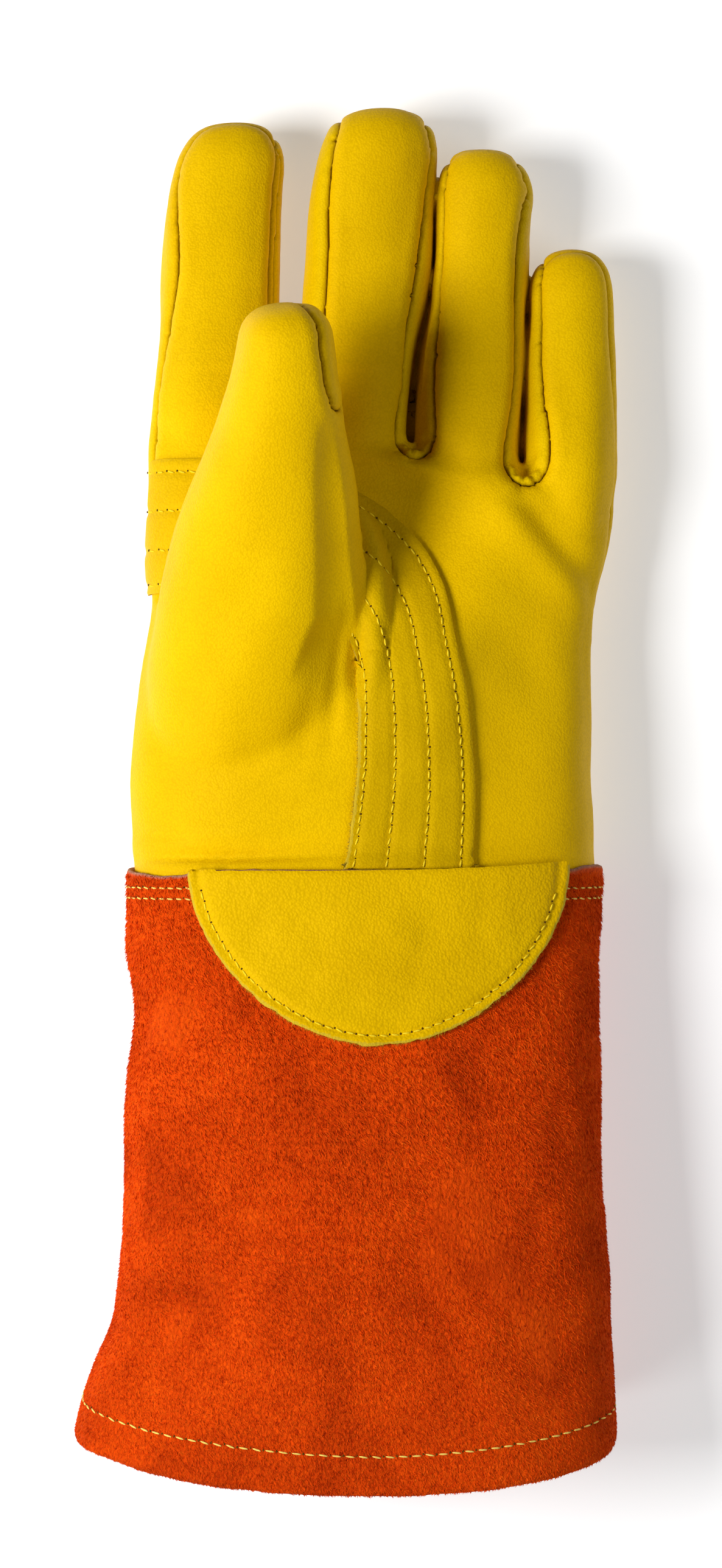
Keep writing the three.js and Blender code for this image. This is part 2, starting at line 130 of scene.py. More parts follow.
def buildStudio():
    camera = added("camera", bpy.data.cameras.new("camera"))
    camera.data.sensor_width = view["sensor"]
    camera.data.lens = view["sensor"] * view["distance"] / view["frameHeight"]
    camera.data.clip_start = 0.05
    x, y = view["middle"]
    camera.location = toFrame @ Vector((x, y, view["plane"] + view["distance"]))
    bpy.context.scene.camera = camera
    for name in ("key", "low", "fill"):
        place, size, watts = light[name]
        lamp = added(name, bpy.data.lights.new(name, "AREA"))
        lamp.data.size = size * 0.001
        lamp.data.energy = watts
        lamp.location = toFrame @ Vector(place)
        direction = toFrame @ Vector((0, 20, 20)) - lamp.location
        lamp.rotation_euler = direction.to_track_quat("-Z", "Y").to_euler()
    world = bpy.data.worlds.new("studio")
    world.use_nodes = True
    sky = world.node_tree.nodes["Background"].inputs
    sky["Color"].default_value = (1, 1, 1, 1)
    sky["Strength"].default_value = light["world"]
    bpy.context.scene.world = world
    bm = bmesh.new()
    bmesh.ops.create_grid(bm, x_segments=1, y_segments=1, size=4)
    floor = added("floor", meshOf(bm, "floor"))
    paper = bpy.data.materials.new("paper")
    paper.use_nodes = True
    sockets = paper.node_tree.nodes["Principled BSDF"].inputs
    sockets["Base Color"].default_value = (0.8, 0.8, 0.8, 1)
    sockets["Roughness"].default_value = 0.9
    sockets["Emission Color"].default_value = (1, 1, 1, 1)
    sockets["Emission Strength"].default_value = light["floor"]
    floor.data.materials.append(paper)
    bpy.context.scene.view_settings.view_transform = "Standard"


buildStudio()
print("studio ready")

# sizes of the hand
hand = {
    "palmLength": 110.0,
    "palmThickness": 37.0,
    "forkSlant": -10.0,
    "fingerGap": 0.9,
    "fingerThickness": 25.0,
    "tipLength": 11.5,
    "tipPower": 0.6,
    "leather": 1.6,
    "tuck": 12.0,
    "voxel": 1.1,
    "palmVoxel": 1.3,  # for the palm alone, which the patch is laid on
    "puff": 0.75,  # the form is made this much slimmer and swells again, so that fingers stay apart
    "smoothing": 9,
}
fingers = [
    {"name": "index", "width": 35.2, "length": 74.0, "lift": 0.12},
    {"name": "middle", "width": 30.6, "length": 83.0, "lift": 0.22},
    {"name": "ring", "width": 27.6, "length": 78.0, "lift": 0.18},
    {"name": "little", "width": 24.0, "length": 57.0, "lift": 0.1},
]
halfHand = (sum(f["width"] + hand["fingerGap"] for f in fingers) - hand["fingerGap"]) / 2
knuckleShift = 0.078 * halfHand
slope = math.tan(math.radians(hand["forkSlant"]))
nextLeft = knuckleShift - halfHand
for finger in fingers:
    finger["root"] = nextLeft + finger["width"] / 2
    finger["start"] = hand["palmLength"] + slope * (finger["root"] - knuckleShift)
    nextLeft += finger["width"] + hand["fingerGap"]

# at, left, right, thick: shares of the palm's length, of half the hand and of the palm's thickness
palmRows = [
    (0.08, 1.0, 0.977, 1.0),
    (0.2, 1.007, 0.962, 1.02),
    (0.32, 0.993, 0.96, 1.02),
    (0.43, 0.97, 0.962, 1.0),
    (0.53, 0.938, 0.967, 0.98),
    (0.61, 0.922, 0.983, 0.96),
    (0.69, 0.927, 1.007, 0.93),
    (0.77, 0.934, 1.032, 0.89),
    (0.85, 0.934, 1.05, 0.85),
    (0.92, 0.93, 1.062, 0.8),
    (0.97, 0.922, 1.068, 0.76),
]
# breadth and shift of the middle line at these shares of the length, as shares of each finger's width
fingerAt = (0, 0.25, 0.5, 0.75, 0.87, 1)
fingerShapes = {
    "index": ((1, 0.88, 0.87, 0.83, 0.8, 0.78), (0, -0.01, 0, 0.04, 0.08, 0.11)),
    "middle": ((1, 0.98, 1.09, 1.06, 1.01, 0.99), (0, 0.05, 0.15, 0.18, 0.22, 0.27)),
    "ring": ((1, 0.94, 0.86, 0.86, 0.9, 0.87), (0, 0.07, 0.13, 0.17, 0.18, 0.14)),
    "little": ((1, 1, 0.96, 0.93, 0.9, 0.88), (0, 0, 0.01, 0.015, 0.02, 0.025)),
}
fingerRows = {name: list(zip(fingerAt, *columns)) for name, columns in fingerShapes.items()}
# at, and how far the seams lie in from the finger's left and right edge, as shares of its width
seamAt = (0, 0.12, 0.25, 0.5, 0.75, 0.87)
seamShapes = {
    "index": ((0.04, 0.045, 0.067, 0.135, 0.062, 0.03), (0.08, 0.04, 0.028, 0.024, 0.02, 0.02)),
    "middle": ((0.18, 0.19, 0.19, 0.19, 0.16, 0.13), (0.075, 0.07, 0.075, 0.13, 0.06, 0.03)),
    "ring": ((0.15, 0.13, 0.08, 0.03, 0.03, 0.04), (0.125, 0.1, 0.09, 0.1, 0.105, 0.045)),
    "little": ((0.235, 0.225, 0.2, 0.13, 0.11, 0.09), (0, 0, 0, 0, 0, 0)),
}
seamRows = {name: list(zip(seamAt, *columns)) for name, columns in seamShapes.items()}
seamRows["index"][4] = (0.73, 0.062, 0.02)  # this seam turns a little lower
# at, middle line x and z, breadth, thickness and reach to the right, as shares of the thumb's sizes
thumb = {"rootY": 23.1, "rootZ": 17.8, "length": 107.0, "rise": 40.0, "width": 56.0, "thickness": 38.0}
thumbRows = [
    (0.0, -0.5, 0.0, 0.88, 0.82, 0.02),
    (0.13, -0.5, 0.08, 0.94, 0.95, 0.09),
    (0.24, -0.488, 0.18, 0.95, 0.98, 0.12),
    (0.36, -0.454, 0.28, 0.95, 0.94, 0.06),
    (0.47, -0.428, 0.4, 0.92, 0.87, 0.01),
    (0.58, -0.41, 0.55, 0.83, 0.81, 0.0),
    (0.69, -0.384, 0.7, 0.718, 0.75, 0.0),
    (0.8, -0.358, 0.825, 0.59, 0.69, 0.0),
    (0.9, -0.338, 0.94, 0.495, 0.63, 0.0),
    (1.0, -0.33, 1.0, 0.42, 0.58, 0.0),
]
cuff = {
    "length": 149.0,
    "thickness": 58.0,
    "wall": 2.0,
    "hemTurn": 9.0,
    "hemTilt": 8.3,
    "hemRow": 8.3,  # the stitches' distance from the hem
    "hemPitch": 3.3,
    "wristRows": (5.0, 7.7),
    "wristPitch": 2.5,
}
# at, left, right, thick, as for the palm, down from the wrist
cuffRows = [
    (0.0, 1.024, 1.018, 0.7),
    (0.07, 1.021, 1.004, 0.705),
    (0.15, 1.016, 0.99, 0.72),
    (0.24, 0.985, 0.994, 0.745),
    (0.32, 1.0, 1.0, 0.77),
    (0.42, 1.03, 1.005, 0.8),
    (0.54, 1.027, 1.008, 0.835),
    (0.64, 1.034, 1.02, 0.865),
    (0.73, 1.052, 1.03, 0.895),
    (0.8, 1.072, 1.034, 0.925),
    (0.87, 1.135, 1.05, 0.955),
    (0.93, 1.188, 1.062, 0.98),
    (1.0, 1.233, 1.07, 1.0),
]
frontHeight = 0.42 * hand["palmThickness"]


def readRow(rows, at):
    at = min(max(at, rows[0][0]), rows[-1][0])
    i = 0
    while i < len(rows) - 2 and rows[i + 1][0] < at:
        i += 1
    a, b = rows[i], rows[i + 1]
    before = rows[i - 1] if i > 0 else a
    after = rows[i + 2] if i + 2 < len(rows) else b
    span = b[0] - a[0]
    t = (at - a[0]) / span
    values = []
    for k in range(1, len(a)):
        leave = (b[k] - before[k]) / (b[0] - before[0]) * span
        arrive = (after[k] - a[k]) / (after[0] - a[0]) * span
        h = 2 * t**3 - 3 * t**2 + 1, t**3 - 2 * t**2 + t, -2 * t**3 + 3 * t**2, t**3 - t**2
        values.append(h[0] * a[k] + h[1] * leave + h[2] * b[k] + h[3] * arrive)
    return values


def sectionPoints(left, right, foot, top, count, arch=2.4, square=3.0):
    centre, half, side = (left + right) / 2, (right - left) / 2, foot + 0.43 * (top - foot)
    points = []
    for i in range(count):
        angle = 2 * math.pi * i / count
        c, s = math.cos(angle), math.sin(angle)
        power = 2 / (arch if s >= 0 else square)
        x = centre + half * math.copysign(abs(c) ** power, c)
        if s >= 0:
            z = side + (top - side) * s**power
        else:
            z = max(foot, side - 1.06 * (side - foot) * (-s) ** power)
        points.append((x, z))
    return points


def loft(bm, rings, closed=True):
    loops = []
    for ring in rings:
        made = bmesh.ops.create_circle(bm, segments=len(ring), radius=1)["verts"]
        for vert, point in zip(made, ring):
            vert.co = point
        loops.append(list(dict.fromkeys(e for v in made for e in v.link_edges)))
    for a, b in zip(loops, loops[1:]):
        bmesh.ops.bridge_loops(bm, edges=a + b)
    if closed:
        for end in (loops[0], loops[-1]):
            bmesh.ops.contextual_create(bm, geom=end)


def cuffSection(below, grow, count):
    left, right, thick = readRow(cuffRows, below / cuff["length"])
    top = thick * cuff["thickness"]
    return sectionPoints(-left * halfHand - grow, right * halfHand + grow, -grow, top + grow, count)


def palmRings(grow, count=72):
    rings = []
    inside = grow - cuff["wall"] - 0.3
    for y in (-hand["tuck"] - 4, -hand["tuck"] / 2, 0, 1.5):
        rings.append([(x, y, z) for x, z in cuffSection(-y, inside, count)])
    at = 0.035
    while at <= 0.97:
        left, right, thick = readRow(palmRows, at)
        slant = slope * float(smoothStep(at, 0.6, 0.92))
        top = thick * hand["palmThickness"] + grow
        shape = (-left * halfHand - grow, right * halfHand + grow, -grow, top)
        y = at * hand["palmLength"]
        rings.append([(x, y + slant * (x - knuckleShift), z) for x, z in sectionPoints(*shape, count)])
        at += 0.035
    left, right, foot, top = shape
    reach = hand["palmLength"] + grow - y
    for turn in (25, 48, 68, 84):
        inset = (1 - math.cos(math.radians(turn))) * 0.42 * (top - foot)
        ring = sectionPoints(left + 0.4 * inset, right - 0.4 * inset, foot + inset, top - inset, count)
        out = y + reach * math.sin(math.radians(turn))
        rings.append([(x, out + slope * (x - knuckleShift), z) for x, z in ring])
    return rings


# the gaps between middle, ring and little finger: y, middle line and half the width in millimetres
gapRows = {
    "middle": [
        (104, 11.6, 1.3),
        (113, 11.5, 1.05),
        (120, 11.9, 1.0),
        (126, 12.5, 0.9),
        (132, 13.2, 0.8),
        (138, 14.4, 0.6),
        (145, 16.2, 0.4),
        (151, 16.9, 0.4),
        (157, 17.6, 0.45),
        (170, 17.9, 0.4),
        (176, 18.1, 0.3),
    ],
    "ring": [
        (94, 40.6, 1.0),
        (102, 40.4, 0.9),
        (110, 40.2, 0.6),
        (114, 40.5, 0.4),
        (120, 40.8, 0.3),
        (132, 41.3, 0.25),
        (145, 41.9, 0.25),
        (152, 42.2, 0.25),
    ],
}


def closeGap(ring, name, y, sign, centre, low, high):
    rows = gapRows[name]
    middle, half = readRow(rows, y)
    fade = float(smoothStep(-y, -rows[-1][0] - 3, -rows[-1][0] + 4))
    edge = max((px - centre) * -sign for px, pz in ring)
    target = (middle + sign * (half + hand["puff"] + 0.05) - centre) * -sign
    meeting = (middle + sign * (hand["puff"] - 0.4) - centre) * -sign
    closed = []
    for px, pz in ring:
        out = (px - centre) * -sign
        if out > 0:
            beside = float(smoothStep(out / edge, 0.3, 0.75))
            shut = float(smoothStep(-pz, -high, -low)) * beside * fade
            wide = out * (1 + (target / edge - 1) * fade)
            px = centre - sign * (wide + (meeting - wide) * shut)
        closed.append((px, pz))
    return closed


def fingerLine(finger, at):
    breadth, shift = readRow(fingerRows[finger["name"]], at)
    x = finger["root"] + shift * finger["width"]
    return x, finger["start"] + at * finger["length"], breadth * finger["width"] / 2


# the gaps beside each finger and on which side of the gap it lies
gapsBeside = {
    "index": [],
    "middle": [("middle", -1)],
    "ring": [("ring", -1), ("middle", 1)],
    "little": [("ring", 1)],
}
tipTurns = (14, 28, 42, 55, 67, 78, 86)  # the rings of a round fingertip, in degrees


def fingerRings(finger, grow, count=44):
    tipStart = 1 - hand["tipLength"] / finger["length"]
    stations = [(-0.25 + i * (tipStart + 0.25) / 18, 1) for i in range(19)]
    reach = (hand["tipLength"] + 0.6 + grow) / finger["length"]
    for angle in map(math.radians, tipTurns):
        stations.append((tipStart + reach * math.sin(angle), math.cos(angle) ** hand["tipPower"]))
    rings = []
    for at, shrink in stations:
        x, y, half = fingerLine(finger, max(at, 0))
        y = finger["start"] + at * finger["length"]
        buried = 0.4 * finger["width"] * max(-at, 0)
        share = float(smoothStep(at, -0.2, 0.4))
        slim = hand["fingerThickness"] * (1 - 0.14 * max(at, 0))
        thick = 0.74 * hand["palmThickness"] * (1 - share) + slim * share
        middle = finger["lift"] * hand["fingerThickness"] * max(at, 0) ** 2 + thick / 2
        wide, deep = (half - buried + grow) * shrink, (thick / 2 - buried + grow) * shrink
        ring = sectionPoints(x - wide, x + wide, middle - deep, middle + deep, count, 2.35, 2.6)
        for gap, sign in gapsBeside[finger["name"]] if shrink == 1 else []:
            ring = closeGap(ring, gap, y, sign, x, middle - 0.6 * deep, middle - 0.05 * deep)
        rings.append([(px, y, pz) for px, pz in ring])
    return rings


def thumbAxis(at):
    x, z, wide, thick, reach = readRow(thumbRows, at)
    centre = Vector((x * halfHand, thumb["rootY"] + at * thumb["length"], thumb["rootZ"] + z * thumb["rise"]))
    return centre, wide * thumb["width"] / 2, thick * thumb["thickness"] / 2, reach * thumb["width"]


def thumbFrame(at):
    centre, wide, deep, reach = thumbAxis(at)
    ahead = (thumbAxis(min(at + 0.02, 1))[0] - thumbAxis(max(at - 0.02, 0))[0]).normalized()
    return centre, Vector((0, -ahead.z, ahead.y)).normalized(), ahead, wide, deep, reach


def thumbRings(grow, count=52):
    stations = [(i / 24, 1, 0) for i in range(25)]
    for angle in map(math.radians, tipTurns):
        past = (0.83 * hand["tipLength"] + grow) * math.sin(angle)
        stations.append((1, math.cos(angle) ** 0.7, past))
    rings = []
    for at, shrink, past in stations:
        centre, up, ahead, wide, deep, reach = thumbFrame(at)
        centre = centre + ahead * past
        wide, deep = (wide + grow) * shrink, (deep + grow) * shrink
        ring = sectionPoints(-wide, wide, -deep, deep, count, 2.2, 2.3)
        spread = 1 + reach / wide
        rings.append([centre + Vector((x * (spread if x > 0 else 1), 0, 0)) + up * z for x, z in ring])
    return rings


def remeshed(bm, voxel):
    bmesh.ops.recalc_face_normals(bm, faces=bm.faces)
    rough = added("form", meshOf(bm, "form"))
    modifier = rough.modifiers.new("voxels", "REMESH")
    modifier.mode = "VOXEL"
    modifier.voxel_size = voxel
    depsgraph = bpy.context.evaluated_depsgraph_get()
    fine = bpy.data.meshes.new_from_object(rough.evaluated_get(depsgraph))
    bpy.data.objects.remove(rough)
    made = bmesh.new()
    made.from_mesh(fine)
    relax(made, hand["smoothing"])
    return made


def buildHandForm():
    bm = bmesh.new()
    grow = -hand["puff"]
    loft(bm, palmRings(grow))
    for finger in fingers:
        loft(bm, fingerRings(finger, grow))
    loft(bm, thumbRings(grow))
    fine = remeshed(bm, hand["voxel"])
    moveVerts(fine, coordinates(fine) + normals(fine) * hand["puff"])
    return fine


handForm = buildHandForm()
print("hand form", len(handForm.verts))


# fields of signed distance that the leather is cut along
def insideOutline(points, outline):
    x, y = points[:, 0], points[:, 1]
    inside = np.zeros(len(points), bool)
    ring = outline + outline[:1]
    for (ax, ay), (bx, by) in zip(ring, ring[1:]):
        if ay != by:
            inside ^= ((ay > y) != (by > y)) & (x < (bx - ax) * (y - ay) / (by - ay) + ax)
    nearest = lineDistance(points, ring)
    return np.where(inside, nearest, -nearest)


def seamLine(finger, side):
    sign = -1 if side == 0 else 1
    points = []
    for i in range(13):
        at = 0.87 * i / 12
        x, y, half = fingerLine(finger, at)
        inward = max(readRow(seamRows[finger["name"]], at)[side] * finger["width"], 0.6)
        points.append((x + sign * (half - inward), y))
    x, y, half = fingerLine(finger, 1)
    points.append((x + sign * half * 0.72, y - 1.5))
    points.append((x + sign * half * 0.5, y + 30))
    return points


# the seam round the lower end of the two forks that show: x and y
forkBends = {
    "middle": [(8.5, 117.0), (7.9, 112.2), (8.1, 109.3), (9.1, 107.0), (10.9, 105.6), (13.0, 105.2)]
    + [(14.9, 105.7), (16.4, 107.4), (17.3, 109.9), (17.5, 114.0)],
    "ring": [(37.3, 115.0), (36.3, 110.0), (35.7, 105.8), (35.9, 102.6), (37.1, 100.0), (39.1, 98.2)]
    + [(41.5, 97.6), (43.9, 98.4), (45.8, 101.0), (46.6, 104.8), (46.7, 109.5), (46.3, 114.0)],
}


def cornersCut(points):
    for i in range(2):
        pairs = list(zip(points, points[1:]))
        cut = [(a[0] + (b[0] - a[0]) * k, a[1] + (b[1] - a[1]) * k) for a, b in pairs for k in (0.25, 0.75)]
        points = points[:1] + cut + points[-1:]
    return points


def forkOutline(left, right):
    down, up = seamLine(left, 1)[::-1], seamLine(right, 0)
    if left["name"] in forkBends:
        bend = forkBends[left["name"]]
        above = [p for p in down if p[1] > bend[0][1] + 3], [p for p in up if p[1] > bend[-1][1] + 3]
        return above[0] + cornersCut(above[0][-1:] + bend + above[1][:1])[1:-1] + above[1]
    a, b = Vector(down[-1]), Vector(up[0])
    reach = (a - b).length * 2 / 3
    leave = a + (a - Vector(down[-3])).normalized() * reach
    arrive = b + (b - Vector(up[2])).normalized() * reach
    bend = []
    for i in range(1, 16):
        t, rest = i / 16, 1 - i / 16
        bend.append(tuple(a * rest**3 + leave * 3 * t * rest**2 + arrive * 3 * t**2 * rest + b * t**3))
    return down + bend + up


# the crescent patch: outer and inner edge from the wrist to the side of the hand
crescentRows = [
    (0.0, 0.446, 0.0, -0.085, 0.0),
    (0.16, 0.454, 0.18, -0.04, 0.2),
    (0.32, 0.424, 0.38, -0.027, 0.37),
    (0.45, 0.372, 0.53, -0.04, 0.47),
    (0.55, 0.326, 0.655, -0.1, 0.55),
    (0.65, 0.21, 0.765, -0.21, 0.61),
    (0.77, -0.03, 0.865, -0.43, 0.64),
    (0.9, -0.41, 0.935, -0.7, 0.64),
    (1.0, -1.2, 0.955, -1.2, 0.634),
]


def crescentLine(share, count=60):
    points = []
    for i in range(count + 1):
        ox, oy, ix, iy = readRow(crescentRows, i / count)
        x, y = ox + (ix - ox) * share, oy + (iy - oy) * share
        points.append((x * halfHand, y * hand["palmLength"]))
    return points


def thumbFields(points):
    steps = np.linspace(0, 1, 61)
    frames = [thumbFrame(float(t)) for t in steps]
    centres, ups, aheads = (np.array([f[i][:] for f in frames]) for i in (0, 1, 2))
    wides, deeps, reaches = (np.array([f[i] for f in frames]) for i in (3, 4, 5))
    away = []
    for centre, ahead in zip(centres, aheads):
        away.append(np.abs((points - centre) @ ahead) + 0.02 * np.linalg.norm(points - centre, axis=1))
    index = np.argmin(away, axis=0)
    stepLength = np.linalg.norm(centres[-1] - centres[0]) / (len(steps) - 1)
    past = np.einsum("ij,ij->i", points - centres[index], aheads[index])
    t = np.clip(steps[index] + past / stepLength / (len(steps) - 1), 0, 1)
    places, up = (np.stack([np.interp(t, steps, column) for column in rows.T], 1) for rows in (centres, ups))
    across = points[:, 0] - places[:, 0]
    high = np.einsum("ij,ij->i", points - places, up)
    wide = np.interp(t, steps, wides) + np.where(across > 0, np.interp(t, steps, reaches), 0)
    deep = np.interp(t, steps, deeps)
    radial = (np.abs(across / wide) ** 2.2 + np.abs(high / deep) ** 2.2) ** (1 / 2.2)
    inside = np.where(t >= 1, 1.5, (1 - radial) * np.minimum(wide, deep) + 1.5)
    inside = np.where((t >= 1) & (radial > 1.6), -5, inside)
    return t, across, high, wide, inside


def forkField(points, i):
    return insideOutline(points, forkOutline(fingers[i], fingers[i + 1]))


def heelField(points):
    middle = crescentLine(0.5)
    outline = [(-300, -300), (middle[0][0], -300)] + middle + [(-300, middle[-1][1])]
    return insideOutline(points, outline)


def stripField(points):
    left, low = seamLine(fingers[0], 0), crescentLine(0.5)[-1][1]
    outline = [(-300, low - 8), (left[0][0] - 2.2, low - 8)] + left + [(-300, 400)]
    return insideOutline(points, outline)


def sideField(points):
    lift = 0.1 * hand["fingerThickness"] * smoothStep(points[:, 1], 110, 140)
    return points[:, 2] - frontHeight - lift


def thumbField(points):
    inside = thumbFields(points)[4]
    return np.where(points[:, 2] < 20, np.minimum(inside, points[:, 2] - 20), inside)


def thumbFrontField(points):
    t, across, high, wide, inside = thumbFields(points)
    inset = -5 + 7.0 * smoothStep(t, 0.82, 0.885) + 1.0 * smoothStep(t, 0.88, 0.93)
    past = np.maximum(points[:, 1] - thumb["rootY"] - thumb["length"], 0)
    return np.minimum(high + 2, wide - inset - 0.06 * past**2 - across)


def crescentField(points):
    inside = insideOutline(points, crescentLine(0) + crescentLine(1)[::-1])
    limits = [4.5 - thumbField(points), sideField(points) - 1, -stripField(points) - 0.4]
    return np.minimum.reduce([inside] + limits)


def cutAlong(bm, values, snap=0.16):
    bm.verts.index_update()
    values = np.where(np.abs(values) < snap, 0, values)
    onLine = {v for v in bm.verts if values[v.index] == 0}
    crossing = []
    for e in bm.edges:
        a, b = e.verts
        if values[a.index] * values[b.index] < 0:
            crossing.append((e, a, values[a.index] / (values[a.index] - values[b.index])))
    touched = {}  # a dictionary keeps its order, so that every run cuts alike
    for e, a, share in crossing:
        touched.update(dict.fromkeys(e.link_faces))
        onLine.add(bmesh.utils.edge_split(e, a, share)[1])
    for f in touched:
        marked = [v for v in f.verts if v in onLine]
        if len(marked) < 2:
            continue
        for i, a in enumerate(marked):
            other = [b for b in marked[i + 1 :] if not any(e.other_vert(a) is b for e in a.link_edges)]
            if other:
                bmesh.utils.face_split(f, a, other[0])
                break


panelNames = [
    "palm_panel",
    "back_panel",
    "fourchette_index_middle",
    "fourchette_middle_ring",
    "fourchette_ring_little",
    "thumb_front",
    "thumb_back",
]


def panelOfFaces(bm):
    centres = np.array([f.calc_center_median()[:] for f in bm.faces])
    side, onThumb = sideField(centres), thumbField(centres)
    thumbPart = (onThumb > 0) | ((heelField(centres) > 0) & (side > 0) & (stripField(centres) < 0))
    free = (onThumb > 0) & (centres[:, 1] > thumb["rootY"] + 0.43 * thumb["length"])
    panel = np.where((side < 0) | (stripField(centres) > 0), 1, 0)
    for i in range(3):
        panel = np.where(forkField(centres, i) > 0, 2 + i, panel)
    panel = np.where(thumbPart, 5, panel)
    return np.where(thumbPart & free & (thumbFrontField(centres) < 0), 6, panel)


def cutPanels(bm):
    near = bm.verts[:] + bm.edges[:] + bm.faces[:]
    low = (0, -hand["tuck"], 0)
    bmesh.ops.bisect_plane(bm, geom=near, plane_co=low, plane_no=(0, -1, 0), clear_outer=True)
    for i in range(3):
        cutAlong(bm, forkField(coordinates(bm), i))
    cutAlong(bm, stripField(coordinates(bm)))
    points = coordinates(bm)
    cutAlong(bm, np.where(thumbField(points) > 2, 5, sideField(points)))
    points = coordinates(bm)
    cutAlong(bm, np.where(points[:, 2] < frontHeight - 2, 5, heelField(points)))
    cutAlong(bm, thumbField(coordinates(bm)))
    points = coordinates(bm)
    cutAlong(bm, np.where(thumbField(points) < -1, 5, thumbFrontField(points)))
    layer = bm.faces.layers.int.new("panel")
    for face, panel in zip(bm.faces, panelOfFaces(bm)):
        face[layer] = int(panel)


def seamEdges(bm):
    layer = bm.faces.layers.int["panel"]
    return [e for e in bm.edges if len({f[layer] for f in e.link_faces}) == 2]


def seamReach(bm, most):
    points = []
    for e in seamEdges(bm):
        a, b = e.verts[0].co, e.verts[1].co
        points += [a.copy(), (a + b) / 2]
    tree = kdtree.KDTree(len(points))
    for i, point in enumerate(points):
        tree.insert(point, i)
    tree.balance()
    distances = np.array([tree.find(v.co)[2] for v in bm.verts])
    return np.minimum(distances, most)


def refineNear(bm, limit):
    reach = seamReach(bm, 12.0)
    bm.verts.index_update()
    edges = [e for e in bm.edges if reach[e.verts[0].index] < limit and reach[e.verts[1].index] < limit]
    bmesh.ops.subdivide_edges(bm, edges=edges, cuts=1, use_grid_fill=True)
    bmesh.ops.triangulate(bm, faces=[f for f in bm.faces if len(f.verts) > 4])


# x, y, turn, reach along, reach across and depth, in millimetres and degrees: soft dents of the palm
dents = [
    (13.0, 92.0, -35, 34, 17, 5.0),
    (4.0, 73.0, 60, 30, 15, 3.4),
    (49.0, 84.0, -50, 20, 4.5, 2.6),
    (37.0, 93.0, -48, 18, 7, -1.8),
    (53.0, 76.0, -50, 16, 6, -1.3),
    (40.0, 45.0, 80, 40, 13, 2.0),
    (30.0, 62.0, -40, 26, 8, 1.2),
    (22.0, 50.0, 70, 24, 6, -0.6),
    (-2.0, 101.0, 2, 22, 5, 0.9),
    (-1.0, 110.5, 2, 16, 4.5, -1.0),
]
# the same for the thumb and its heel
thumbDents = [
    (-34.0, 3.0, 1, 24, 1.3, 1.6),
    (-28.0, 5.5, 3, 34, 3.0, 0.6),
    (-52.0, 8.4, -3, 10, 1.8, 1.0),
    (-34.0, 8.5, 4, 24, 3, -0.8),
    (-16.0, 10.6, 12, 12, 1.4, 0.5),
    (-13.0, 17.6, 14, 9, 1.2, 0.5),
    (-18.5, 25.0, 22, 8, 1.3, 0.5),
    (-12.0, 20.0, 12, 20, 3.2, 0.4),
    (-1.6, 52.0, 86, 12, 2.2, 2.8),
    (-20.0, 30.0, 20, 24, 4, 0.6),
    (-6.0, 50.0, 80, 16, 2.6, 1.6),
    (-11.0, 46.0, 70, 16, 4, 1.2),
    (-24.0, 62.0, 72, 22, 9, -0.7),
    (-36.0, 60.0, 65, 30, 8, 0.5),
]


def dented(points, facing, rows):
    depth = np.zeros(len(points))
    for x, y, turn, along, across, deep in rows:
        c, s = math.cos(math.radians(turn)), math.sin(math.radians(turn))
        dx, dy = points[:, 0] - x, points[:, 1] - y
        u, v = (dx * c + dy * s) / along, (dy * c - dx * s) / across
        depth += deep * np.exp(-(u**2) - v**2)
    return depth * smoothStep(facing, 0.05, 0.5)


# the fold on the thumb's right side: where it starts and how far it lies from the middle
fold = {"drop": 6.2, "run": 4.6, "slope": 0.12, "blend": 0.06, "most": 6}
foldRows = [(44, -20.5), (52, -17.5), (63, -12.9), (80, -12.7), (95, -13.0), (108, -12.3), (116, -9.5)]


def foldThumb(points):
    t, across, high, wide, inside = thumbFields(points)
    line = np.interp(points[:, 1], [r[0] for r in foldRows], [r[1] for r in foldRows])
    start = line - points[:, 0] + across
    deep = np.interp(t, [r[0] for r in thumbRows], [r[4] for r in thumbRows]) * thumb["thickness"] / 2
    crest = deep * (1 - np.clip(start / wide, 0, 0.95) ** 2.2) ** (1 / 2.2)
    beyond = np.maximum(across - start, 0)
    limit = crest - fold["drop"] * (1 - np.exp(-beyond / fold["run"])) - fold["slope"] * beyond
    over = high - limit
    over = 0.5 * (over + np.sqrt(over**2 + fold["blend"]))
    share = smoothStep(points[:, 1], 44, 58) * smoothStep(-points[:, 1], -118, -102)
    share = share * (inside > 0) * (high > 0)
    over = np.clip(over, 0, fold["most"]) * share * smoothStep(across - start, -1.5, 0.5)
    ups = np.array([thumbFrame(i / 40)[1][:] for i in range(41)])[np.clip((t * 40).astype(int), 0, 40)]
    return points - ups * over[:, None]


# where the leather is gathered between the fingers: x, y and size
gathers = [(12.0, 108.8, 3.6), (40.8, 102.2, 4.6)]
gather = {"folds": 7, "turn": 1.3, "height": 0.85, "pit": 2.4, "pitSize": 0.42}
seam = {
    "radius": 2.0,
    "depth": 1.5,
    "bulge": 0.32,  # the leather swells a little beside the seam
    "bulgeAt": 3.2,
    "bulgeWidth": 1.8,
    "pucker": 0.14,
    "refine": 2.6,
    "calm": 10,
    # width of the painted shade along the seams
    "seamShade": 0.45,
}
lumps = {"wide": 0.55, "fine": 0.25, "cuffWide": 0.9, "cuffFine": 0.35, "cuffGrit": 0.1}  # heights


